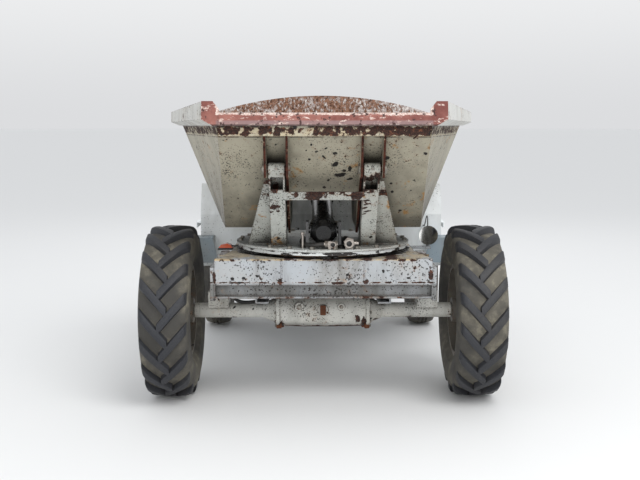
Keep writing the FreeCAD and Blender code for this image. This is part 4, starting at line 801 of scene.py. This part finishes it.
# Tyres and wheels

FRONT_AXLE_Y = JOINTS["front_wheel_left_spin"]["pos_m"][1]

# Right half of a tyre's outline: share of the half width, share of the height above the rim
TYRE_OUTLINE = [
    (0.57, 0.000), (0.68, 0.010), (0.70, 0.090), (0.76, 0.150), (0.82, 0.185), (0.87, 0.250),
    (0.895, 0.262), (0.91, 0.275), (0.92, 0.300), (0.965, 0.400), (0.995, 0.500), (1.00, 0.580),
    (0.99, 0.680), (0.965, 0.760), (0.925, 0.840), (0.86, 0.905), (0.72, 0.945), (0.50, 0.975),
    (0.25, 0.992), (0.0, 1.0),
]


def tyre_body(mesh, centre, half, radius, rim_r, grooves=()):
    """Carcass with round shoulders and a bead ring; grooves are shares of the half width."""
    right = [(u * half, rim_r + share * (radius - rim_r)) for u, share in TYRE_OUTLINE]
    deep_crown = rim_r + 0.93 * (radius - rim_r)
    crown = [point for point in right if point[1] >= deep_crown]
    flank = [point for point in right if point[1] < deep_crown]
    lip = radius - 0.001
    deep = radius - 0.007
    for at in grooves:
        u = at * half
        crown += [(u + 0.005, lip), (u + 0.0035, deep), (u - 0.0035, deep), (u - 0.005, lip)]
    right = flank + sorted(set(crown), key=lambda point: -point[0])
    left = [(-u, r) for u, r in reversed(right) if u > 1e-6]
    turned(mesh, right + left, centre, RIGHT, 112, closed=True)


FRONT_TYRE_R = 0.400
FRONT_HALF = 0.114
FRONT_RIM_R = 0.2035
REAR_TYRE_R = 0.320
REAR_HALF = 0.0825
REAR_RIM_R = 0.1655
REAR_GROOVES = (0.28, 0.0)
BAR_HEIGHT = 0.024
BAR_COUNT = 17
BAR_WIDTH = 0.050
BAR_START = -0.18
BAR_LEAD = math.radians(19.4)
# Share of the half width, drop of the bar's top below the tyre's radius, share of the bar's width
BAR_STATIONS = [
    (BAR_START - 0.012, 0.0060, 0.86), (BAR_START, 0.0008, 0.95), (0.0, 0.0000, 1.0),
    (0.25, 0.0004, 1.0), (0.50, 0.0020, 1.0), (0.66, 0.0042, 1.0), (0.80, 0.0082, 1.0),
    (0.86, 0.0150, 0.98), (0.90, 0.0260, 0.94), (0.915, 0.0360, 0.86),
]


def tread_bar(mesh, centre, side, row, angle):
    """One slanted bar of the tread with rounded edges; its faces get the second material."""
    rings = []
    for share, drop, wide in BAR_STATIONS:
        outer = FRONT_TYRE_R - drop
        sunk = 0.004 + 0.034 * max(0.0, share) ** 3
        inner = min(FRONT_TYRE_R - BAR_HEIGHT - sunk, outer - 0.014)
        half = BAR_WIDTH * wide / 2
        flank = [(inner, half + 0.004), (outer - 0.004, half), (outer - 0.001, half - 0.0016),
                 (outer, half - 0.0048)]
        x = centre[0] + side * row * share * FRONT_HALF
        ring = []
        for r, away in [(r, -away) for r, away in flank] + flank[::-1]:
            place = angle + BAR_LEAD * share + away / r
            spot = (x, centre[1] - r * math.sin(place), centre[2] - r * math.cos(place))
            ring.append(mesh.verts.new(spot))
        rings.append(ring)
    for face in loft(mesh, rings):
        face.material_index = 1


def tyres():
    pitch = 2 * math.pi / BAR_COUNT
    first = BAR_WIDTH / 2 / FRONT_TYRE_R - BAR_START * BAR_LEAD
    for name, side in (("left", -1), ("right", 1)):
        centre = JOINTS["front_wheel_%s_spin" % name]["pos_m"]
        mesh = bmesh.new()
        tyre_body(mesh, centre, FRONT_HALF, FRONT_TYRE_R - BAR_HEIGHT, FRONT_RIM_R)
        for index in range(BAR_COUNT):
            for row, stagger in ((1, 0.5), (-1, 0.0)):
                tread_bar(mesh, centre, side, row, first + (index + stagger) * pitch)
        made = piece("lugged_tyre_" + name, mesh, "tyre", "front_wheel_" + name)
        made.data.materials.append(FINISH["bar"])
        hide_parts("front_tyre_" + name)

        centre = JOINTS["rear_wheel_%s_spin" % name]["pos_m"]
        mesh = bmesh.new()
        tyre_body(mesh, centre, REAR_HALF, REAR_TYRE_R, REAR_RIM_R, REAR_GROOVES)
        made = piece("smooth_tyre_" + name, mesh, "tyre", "rear_wheel_" + name)
        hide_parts("rear_tyre_" + name)


def wheel_nuts():
    """Nuts, studs and hub cap on each wheel's disc."""
    for end, around in (("front", 0.088), ("rear", 0.080)):
        for name, side in (("left", -1), ("right", 1)):
            centre = Vector(JOINTS["%s_wheel_%s_spin" % (end, name)]["pos_m"])
            out = RIGHT * side
            mesh = bmesh.new()
            for index in range(6):
                angle = math.radians(60 * index + 15)
                spot = centre + out * 0.024 + Vector((0, math.sin(angle), math.cos(angle))) * around
                hexagon(mesh, spot, out, 0.0115, 0.013)
                turned(mesh, [(0.0, 0.0065), (0.019, 0.0065), (0.0205, 0.005)], spot, out, 12)
            cap = [(-0.002, 0.022), (0.004, 0.022), (0.008, 0.016), (0.009, 0.006)]
            turned(mesh, cap, centre + out * 0.050, out, 24)
            body = "%s_wheel_%s" % (end, name)
            piece("wheel_nuts_%s_%s" % (end, name), mesh, "steel", body)


# Front axle and frame

AXLE_Z = 0.400
HOUSING_R = 0.078
HOUSING_FACE_Y = FRONT_AXLE_Y - HOUSING_R - 0.003
FLANGE_X = 0.218
BOLT_CIRCLE_R = 0.0750


def axle_details():
    """Bolts round the housing's flanges, plugs in its bosses and the lumps at its lower corners."""
    mesh = bmesh.new()
    for side in (1, -1):
        for index in range(10):
            angle = math.radians(36 * index + 18)
            y = FRONT_AXLE_Y + BOLT_CIRCLE_R * math.sin(angle)
            z = AXLE_Z + BOLT_CIRCLE_R * math.cos(angle)
            hexagon(mesh, (side * FLANGE_X, y, z), RIGHT * side, 0.0070, 0.0075)
    for x, radius in ((-0.110, 0.010), (0.085, 0.008)):
        hexagon(mesh, (x, HOUSING_FACE_Y, AXLE_Z + 0.028), -BACK, radius, 0.008)
    piece("axle_bolts", mesh, "steel", "chassis")

    mesh = bmesh.new()
    low = (-0.0135, HOUSING_FACE_Y - 0.010, AXLE_Z - 0.010)
    high = (0.0135, HOUSING_FACE_Y + 0.002, AXLE_Z + 0.038)
    block(mesh, low, high, 0.006)
    for x, y, drop in ((0.205, -0.045, 0.066), (0.196, 0.020, 0.074)):
        for side in (-1, 1):
            spot = (side * x, FRONT_AXLE_Y + y, AXLE_Z - drop)
            turned(mesh, [(-0.013, 0.010), (-0.009, 0.014), (0.009, 0.014), (0.013, 0.010)], spot, RIGHT, 14)
    piece("axle_plugs", mesh, "rusty", "chassis")


def frame_details():
    """Welds of the front frame: two upright ones in its middle, one at each end, two along its channel."""
    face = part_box("front_frame")[0].y
    mesh = bmesh.new()
    for number, x in enumerate((-0.186, 0.179)):
        weld_bead(mesh, (x, face, 0.579), (x + 0.002, face, 0.681), 0.0046, number)
    for number, x in enumerate((-0.479, 0.479)):
        weld_bead(mesh, (x, face + 0.002, 0.510), (x, face + 0.002, 0.645), 0.0035, 5 + number)
    for y, z, seed in ((face + 0.028, 0.5165, 9), (face + 0.0275, 0.5645, 10)):
        weld_bead(mesh, (-0.470, y, z), (0.470, y, z), 0.003, seed)
    piece("frame_welds", mesh, "beam", "chassis")


# Turntable

SLEW = Vector(JOINTS["slew"]["pos_m"])
TURNTABLE_TOP = 0.725
RING_OUTER_R = 0.3905
RING_INNER_R = 0.3806
# Plan angle from straight in front, to both sides, where most grease has been squeezed out
GREASE_DEG = 66


def in_plan(angle):
    """Direction at an angle from straight in front, seen from above."""
    return Vector((math.sin(angle), -math.cos(angle), 0))


def turntable_details():
    mesh = bmesh.new()
    for index in range(24):
        turn_deg = 15 * index + 7.5
        if min(abs(turn_deg - 60), abs(turn_deg - 300)) < 9:
            continue
        spot = SLEW + in_plan(math.radians(turn_deg)) * 0.388
        hexagon(mesh, (spot.x, spot.y, TURNTABLE_TOP), UP, 0.0105, 0.011)
    piece("turntable_bolts", mesh, "steel", "turntable")

    draw = random.Random(7)
    mesh = bmesh.new()
    grease_rope(mesh, draw)
    for index in range(90):
        grease_lump(mesh, draw, index)
    piece("ring_grease", mesh, "grease", "chassis", 80)


def grease_rope(mesh, draw):
    """The grease that stands along the ring's foot, wider and higher at both sides."""
    rings = []
    for index in range(181):
        turn_deg = -135 + 1.5 * index
        ends = math.exp(-((abs(turn_deg) - GREASE_DEG) / 17) ** 2)
        outer = RING_OUTER_R + 0.034 * ends * draw.uniform(0.5, 1.0) + draw.uniform(0.0, 0.003)
        high = 0.6860 + 0.0075 * ends * draw.uniform(0.6, 1.0) + draw.uniform(0.0, 0.0012)
        profile = [(RING_INNER_R, BEAM_TOP), (RING_INNER_R, high + 0.003),
                   (0.5 * (RING_INNER_R + outer), high), (outer, BEAM_TOP + 0.0012),
                   (outer + 0.001, BEAM_TOP)]
        ring = []
        for r, z in profile:
            spot = SLEW + in_plan(math.radians(turn_deg)) * r
            ring.append(mesh.verts.new((spot.x, spot.y, z + 0.0002)))
        rings.append(ring)
    loft(mesh, rings)


def grease_lump(mesh, draw, index):
    """One dropped lump; the first 60 lie where most grease has been squeezed out."""
    angle = draw.uniform(-2.2, 2.2)
    spread = 0.001
    if index < 60:
        angle = math.radians(draw.choice((-GREASE_DEG, GREASE_DEG)) + draw.gauss(0, 12))
        spread = 0.012
    size = draw.uniform(0.005, 0.011)
    spot = SLEW + in_plan(angle) * (0.386 + draw.uniform(0.0, spread))
    for vert in bmesh.ops.create_icosphere(mesh, subdivisions=2, radius=size)["verts"]:
        bump = 1 + 0.22 * math.sin(vert.co.x * 900 + index) * math.cos(vert.co.y * 700 + index)
        vert.co = Vector((vert.co.x * bump * 1.6, vert.co.y * bump * 1.6, vert.co.z * 0.55))
        vert.co += Vector((spot.x, spot.y, BEAM_TOP + 0.0075))


# Hose unions beside the ram: their row's centre line, and the places of the two that hoses leave
FITTINGS_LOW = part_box("hydraulic_fittings")[0]
UNION_Y = FITTINGS_LOW.y + 0.020
FEED = Vector((0.112, UNION_Y, TURNTABLE_TOP + 0.024))
RETURN_Z = TURNTABLE_TOP + 0.020
HOSE_R = 0.0105


def union_nuts():
    """Nuts, collars and plugs of the hose unions beside the ram."""
    y = UNION_Y
    mesh = bmesh.new()
    for x in (0.0065, 0.0480):
        nut(mesh, (x, y, RETURN_Z), RIGHT, 0.012, 0.0150, 0.0156)
    nut(mesh, (0.040, y - 0.019, RETURN_Z), BACK, 0.0105, 0.0150, 0.0156)
    nut(mesh, (FEED.x, y - 0.006, FEED.z + 0.002), BACK, 0.0135, 0.0240, 0.0256)
    collar = [(0.0, 0.0215), (-0.005, 0.0215), (-0.007, 0.0190), (-0.007, 0.0125), (-0.002, 0.0115)]
    turned(mesh, collar, FEED - BACK * 0.012, BACK, 32)
    stub = [(0, 0.010), (0.010, 0.010), (0.012, 0.008), (0.020, 0.008)]
    turned(mesh, stub, (0.134, y + 0.006, FEED.z), RIGHT, 18)
    nut(mesh, (-0.092, FITTINGS_LOW.y + 0.034, TURNTABLE_TOP + 0.060), UP, 0.012, 0.008, 0.0095, 0.002)
    piece("union_nuts", mesh, "zinc", "turntable")

    mesh = bmesh.new()
    turned(mesh, [(0, 0.0120), (-0.0085, 0.0110), (-0.0095, 0.0080)], FEED - BACK * 0.0125, BACK, 24)
    turned(mesh, [(0, 0.0100), (-0.006, 0.0100), (-0.007, 0.0080)], (0.040, y - 0.0195, RETURN_Z), BACK, 20)
    turned(mesh, [(0, 0.0100), (-0.005, 0.0100), (-0.006, 0.0080)], (0.0020, y, RETURN_Z), RIGHT, 20)
    dome = [(0, 0.0180), (0.006, 0.0190), (0.012, 0.0150), (0.016, 0.0080)]
    turned(mesh, dome, (0.078, y + 0.016, TURNTABLE_TOP), UP, 20)
    piece("union_plugs", mesh, "grease", "turntable")


def ram_hoses():
    y, z = UNION_Y, TURNTABLE_TOP
    feed = [
        (0.112, y + 0.020, z + 0.024), (0.112, y + 0.045, z + 0.026), (0.108, y + 0.075, z + 0.034),
        (0.100, y + 0.120, z + 0.034), (0.096, y + 0.180, z + 0.022), (0.092, y + 0.240, z + 0.014),
        (0.088, y + 0.300, z + 0.011),
    ]
    back = [
        (-0.002, y, z + 0.020), (-0.020, y - 0.004, z + 0.018), (-0.050, y - 0.002, z + 0.015),
        (-0.084, y + 0.030, z + 0.015), (-0.098, y + 0.080, z + 0.020), (-0.096, y + 0.140, z + 0.022),
        (-0.092, y + 0.220, z + 0.012), (-0.088, y + 0.300, z + 0.011),
    ]
    tube("ram_feed_hose", feed, HOSE_R, "turntable")
    tube("return_hose", back, HOSE_R, "turntable")


def pivot_details():
    """Collars on the skip's pivot pins, their grease nipples and the welds at the posts' feet."""
    pivot = Vector(JOINTS["skip_tip"]["pos_m"])
    mesh = bmesh.new()
    for side in (1, -1):
        out = RIGHT * side
        for x, reach in ((0.2485, 0.010), (0.1475, -0.008)):
            spot = (side * x, pivot.y, pivot.z)
            turned(mesh, [(0.0, 0.024), (reach * 0.7, 0.024), (reach, 0.019)], spot, out, 32)
        hexagon(mesh, pivot + out * 0.258, out, 0.0065, 0.007)
    piece("pivot_collars", mesh, "steel", "skip")

    mesh = bmesh.new()
    nipple = [(0, 0.006), (0.006, 0.006), (0.008, 0.0035), (0.014, 0.0045), (0.017, 0.002)]
    for side in (1, -1):
        turned(mesh, nipple, pivot + Vector((side * 0.198, -0.0255, 0.0)), (0, -1, 0.2), 12)
    piece("grease_nipples", mesh, "zinc", "turntable")

    mesh = bmesh.new()
    top = TURNTABLE_TOP + 0.001
    foot = FRONT_AXLE_Y - 0.180
    for number, side in enumerate((1, -1)):
        for inner, outer, y, seed in ((0.166, 0.230, foot, number), (0.234, 0.340, foot + 0.069, 3 + number)):
            weld_bead(mesh, (side * inner, y, top), (side * outer, y, top), 0.004, seed)
    piece("post_welds", mesh, "posts", "turntable")


def ram_details():
    """Gland nut and port of the tipping ram."""
    base = Vector(JOINTS["ram_swing"]["pos_m"])
    line = Vector(JOINTS["ram_slide"]["axis"]).normalized()
    mesh = bmesh.new()
    turned(mesh, [(0.596, 0.0575), (0.599, 0.0585), (0.628, 0.0585), (0.631, 0.0575)], base, line, 8)
    piece("ram_gland", mesh, "black", "ram_barrel")

    mesh = bmesh.new()
    port = [(-0.004, 0.013), (0.010, 0.013), (0.011, 0.010), (0.018, 0.010)]
    turned(mesh, port, base + line * 0.125 + RIGHT * 0.048, RIGHT, 6)
    piece("ram_port", mesh, "zinc", "ram_barrel")


# Lines and lamps of the chassis

BRAKE_HOSE = [
    (-0.430, -0.790, 0.500), (-0.425, -0.775, 0.470), (-0.390, -0.765, 0.440), (-0.320, -0.745, 0.4375),
    (-0.240, -0.720, 0.462), (-0.175, -0.706, 0.486), (-0.120, -0.705, 0.474), (-0.100, -0.715, 0.462),
]
LAMP_WIRE = [
    (0.548, -0.270, 0.742), (0.549, -0.262, 0.775), (0.550, -0.235, 0.795), (0.552, -0.180, 0.790),
    (0.554, -0.110, 0.745), (0.556, -0.050, 0.722), (0.557, -0.005, 0.722), (0.557, 0.006, 0.722),
]
# The third number is the height above the beam
INDICATOR_CABLE = [
    (-0.440, -0.622, 0.008), (-0.428, -0.618, 0.0045), (-0.412, -0.600, 0.004), (-0.402, -0.540, 0.004),
    (-0.398, -0.470, 0.004), (-0.400, -0.360, 0.004), (-0.392, -0.270, 0.004), (-0.385, -0.228, 0.002),
    (-0.384, -0.222, -0.012),
]


def chassis_lines():
    cable = [(x, y, BEAM_TOP + rise) for x, y, rise in INDICATOR_CABLE]
    tube("brake_hose", BRAKE_HOSE, 0.008, "chassis")
    tube("indicator_cable", cable, 0.0035, "chassis", 3)
    tube("lamp_wire", LAMP_WIRE, 0.0028, "chassis", 3)


def headlamp_details():
    """Bezel, reflector and bulb cap of the headlamp."""
    centre = Vector((0.548, FRONT_AXLE_Y + 0.440, 0.702))
    bezel = [(-0.004, 0.0425), (-0.004, 0.0490), (0.006, 0.0500), (0.012, 0.0485), (0.012, 0.0468)]
    reflector = [(0.0060, 0.0405), (0.0082, 0.0300), (0.0100, 0.0190), (0.0110, 0.0090), (0.0113, 0.0090),
                 (0.0113, 0.0405)]
    mesh = bmesh.new()
    turned(mesh, bezel, centre, BACK, 48)
    turned(mesh, reflector, centre, BACK, 48, closed=True)
    piece("headlamp_bezel", mesh, "chrome", "chassis")

    mesh = bmesh.new()
    turned(mesh, [(0.0055, 0.004), (0.0065, 0.0075), (0.0115, 0.0088)], centre, BACK, 20)
    piece("headlamp_bulb_cap", mesh, "grease", "chassis")


def on_grille(outline):
    """The same turned part on both sides of the rear grille."""
    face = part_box("rear_grille")[1].y
    mesh = bmesh.new()
    for side in (1, -1):
        turned(mesh, outline, (side * 0.297, face, 0.760), BACK, 40)
    return mesh


def rear_lamps():
    base = [(0.0, 0.036), (0.008, 0.036), (0.010, 0.034)]
    cover = [(0.0095, 0.032), (0.016, 0.0315), (0.021, 0.027), (0.024, 0.016), (0.025, 0.004)]
    piece("rear_lamp_bases", on_grille(base), "plastic", "bonnet")
    piece("rear_lamp_lenses", on_grille(cover), "ruby", "bonnet")


# Seat, bonnet and driver's place

CHANNEL_PLACES = (-0.34, 0.34)
PAD_ROUNDNESS = 7.0
BACK_HALF_THICK = 0.0215


def pad(name, node, lean=0.0):
    """A stuffed pad with crowned faces and sewn channels across it; the back's pad leans."""
    low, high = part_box(node)
    centre = (low + high) / 2
    size = (high - low) / 2
    thick, along, outward, deep = 2, 1, 1, 0.14
    if lean:
        thick, along, outward, deep = 1, 2, -1, 0.20
        size.y = BACK_HALF_THICK
    mesh = bmesh.new()
    bmesh.ops.create_cube(mesh, size=2.0)
    bmesh.ops.subdivide_edges(mesh, edges=mesh.edges[:], cuts=23, use_grid_fill=True)
    for vert in mesh.verts:
        reach = sum(abs(value) ** PAD_ROUNDNESS for value in vert.co) ** (-1 / PAD_ROUNDNESS)
        place = Vector(vert.co) * reach
        length = place[along]
        if place[thick] * outward > 0.3:
            groove = sum(math.exp(-((length - at) / 0.035) ** 2) for at in CHANNEL_PLACES)
            place[thick] -= outward * deep * groove
        place.x *= 1 - 0.035 * (1 - min(1.0, abs(length)) ** 2)
        shift = Vector((0, lean * place.z, 0))
        vert.co = centre + shift + Vector([share * half for share, half in zip(place, size)])
    made = piece(name, mesh, "vinyl", "bonnet", 60)
    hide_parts(node)


def bonnet_details():
    mesh = bmesh.new()
    for side in (1, -1):
        inner, outer = sorted((side * 0.3545, side * 0.3620))
        for index in range(7):
            y = FRONT_AXLE_Y + 1.560 + 0.055 * index
            block(mesh, (inner, y, 0.715), (outer, y + 0.016, 0.835), 0.0034)
    piece("bonnet_louvres", mesh, "body", "bonnet")

    mesh = bmesh.new()
    front = FRONT_AXLE_Y + 1.420
    grip = [(-0.026, 0.008), (-0.024, 0.010), (0.024, 0.010), (0.026, 0.008)]
    for x in (-0.26, 0.26):
        block(mesh, (x - 0.012, front - 0.014, 0.600), (x + 0.012, front + 0.001, 0.690), 0.004)
        turned(mesh, grip, (x, front - 0.014, 0.685), RIGHT, 16)
        block(mesh, (x - 0.018, front - 0.010, 0.553), (x + 0.018, front + 0.001, 0.600), 0.003)
    piece("bonnet_latches", mesh, "plastic", "bonnet")


FLOOR_Z = 0.551
STEP_Z = 0.669
LEVER_Y = FRONT_AXLE_Y + 1.080
PEDAL_X = 0.150


def tank_caps():
    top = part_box("side_tanks")[1].z
    fuel = [(0, 0.033), (0.010, 0.033), (0.012, 0.037), (0.026, 0.037), (0.029, 0.033)]
    oil = [(0, 0.022), (0.012, 0.022), (0.013, 0.030), (0.032, 0.028), (0.036, 0.022)]
    mesh = bmesh.new()
    turned(mesh, fuel, (0.520, 0.190, top), UP, 36)
    turned(mesh, oil, (-0.520, 0.150, top), UP, 36)
    piece("tank_caps", mesh, "plastic", "chassis")


def gaiters_and_pads():
    """Bellows at the feet of both levers, and ribbed pads on both pedals."""
    bellows = []
    for index in range(6):
        z = 0.010 * index
        bellows += [(z, 0.021 - 0.002 * index), (z + 0.005, 0.0165 - 0.0018 * index)]
    mesh = bmesh.new()
    for x in (0.190, 0.235):
        turned(mesh, bellows, (x, LEVER_Y, FLOOR_Z), UP, 28)
    for x in (-PEDAL_X, PEDAL_X):
        for index in range(7):
            y = FRONT_AXLE_Y + 0.864 + 0.0135 * index
            block(mesh, (x - 0.037, y, FLOOR_Z + 0.0495), (x + 0.037, y + 0.008, FLOOR_Z + 0.054), 0.0012)
    piece("gaiters_and_pedal_pads", mesh, "hose", "chassis")


# Half length, half width and height of a raised bar, and the pitch of the bars
BAR_LONG = 0.0135
BAR_WIDE = 0.0034
BAR_TALL = 0.0016
BAR_PITCH = 0.036


def lozenge(mesh, x, y, z, turn_deg):
    """One raised bar of a tread plate."""
    turn = Matrix.Rotation(math.radians(turn_deg), 3, "Z")
    middle = BAR_LONG * 0.5
    rim = [(-BAR_LONG, 0), (-middle, BAR_WIDE), (middle, BAR_WIDE), (BAR_LONG, 0), (middle, -BAR_WIDE),
           (-middle, -BAR_WIDE)]
    rings = []
    for along, across, height in ((1.0, 1.0, -0.0004), (0.72, 0.5, BAR_TALL)):
        corners = [turn @ Vector((a * along, b * across, height)) for a, b in rim]
        rings.append([mesh.verts.new(Vector((x, y, z)) + corner) for corner in corners])
    loft(mesh, rings)


def covered(x, y):
    """True where the steering column, a pedal or the levers stand on the floor."""
    column = abs(x) < 0.075 and 0.09 < y < 0.23
    pedal = abs(abs(x) - PEDAL_X) < 0.055 and 0.10 < y < 0.23
    levers = abs(x - 0.212) < 0.050 and abs(y - LEVER_Y) < 0.030
    return column or pedal or levers


def tread_pattern():
    """Raised bars that cross each other, on the floor and on both steps."""
    step_y = FRONT_AXLE_Y + 0.642
    fields = [(-0.367, 0.038, FLOOR_Z, 1, 17, 21), (0.600, step_y, STEP_Z, 1, 3, 3),
              (-0.600, step_y, STEP_Z, -1, 3, 3)]
    mesh = bmesh.new()
    for start_x, start_y, z, way, rows, columns in fields:
        for row in range(rows):
            for column in range(columns):
                x = start_x + way * BAR_PITCH * column
                y = start_y + BAR_PITCH * row
                if z > FLOOR_Z or not covered(x, y):
                    lozenge(mesh, x, y, z, 45 if (row + column) % 2 else -45)
    piece("tread_pattern", mesh, "step", "chassis")


def dash_gauges():
    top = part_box("scuttle_panel")[1].z
    mesh = bmesh.new()
    for x, radius in ((0.120, 0.030), (0.200, 0.016), (-0.120, 0.018)):
        outline = [(0, radius), (0.010, radius), (0.012, radius * 0.92), (0.010, radius * 0.84)]
        turned(mesh, outline, (x, FRONT_AXLE_Y + 0.855, top), UP, 32)
    piece("dash_gauges", mesh, "plastic", "chassis")


# Assembly

tyres()
wheel_nuts()
axle_details()
frame_details()
turntable_details()
union_nuts()
ram_hoses()
pivot_details()
ram_details()
chassis_lines()
headlamp_details()
rear_lamps()
pad("seat_pad", "seat_cushion")
pad("back_pad", "seat_back", lean=0.0225)
bonnet_details()
tank_caps()
gaiters_and_pads()
tread_pattern()
dash_gauges()

pale_floor()
backdrop()
soft_lamps()
camera()

scene = bpy.context.scene
scene.view_settings.view_transform = "Standard"
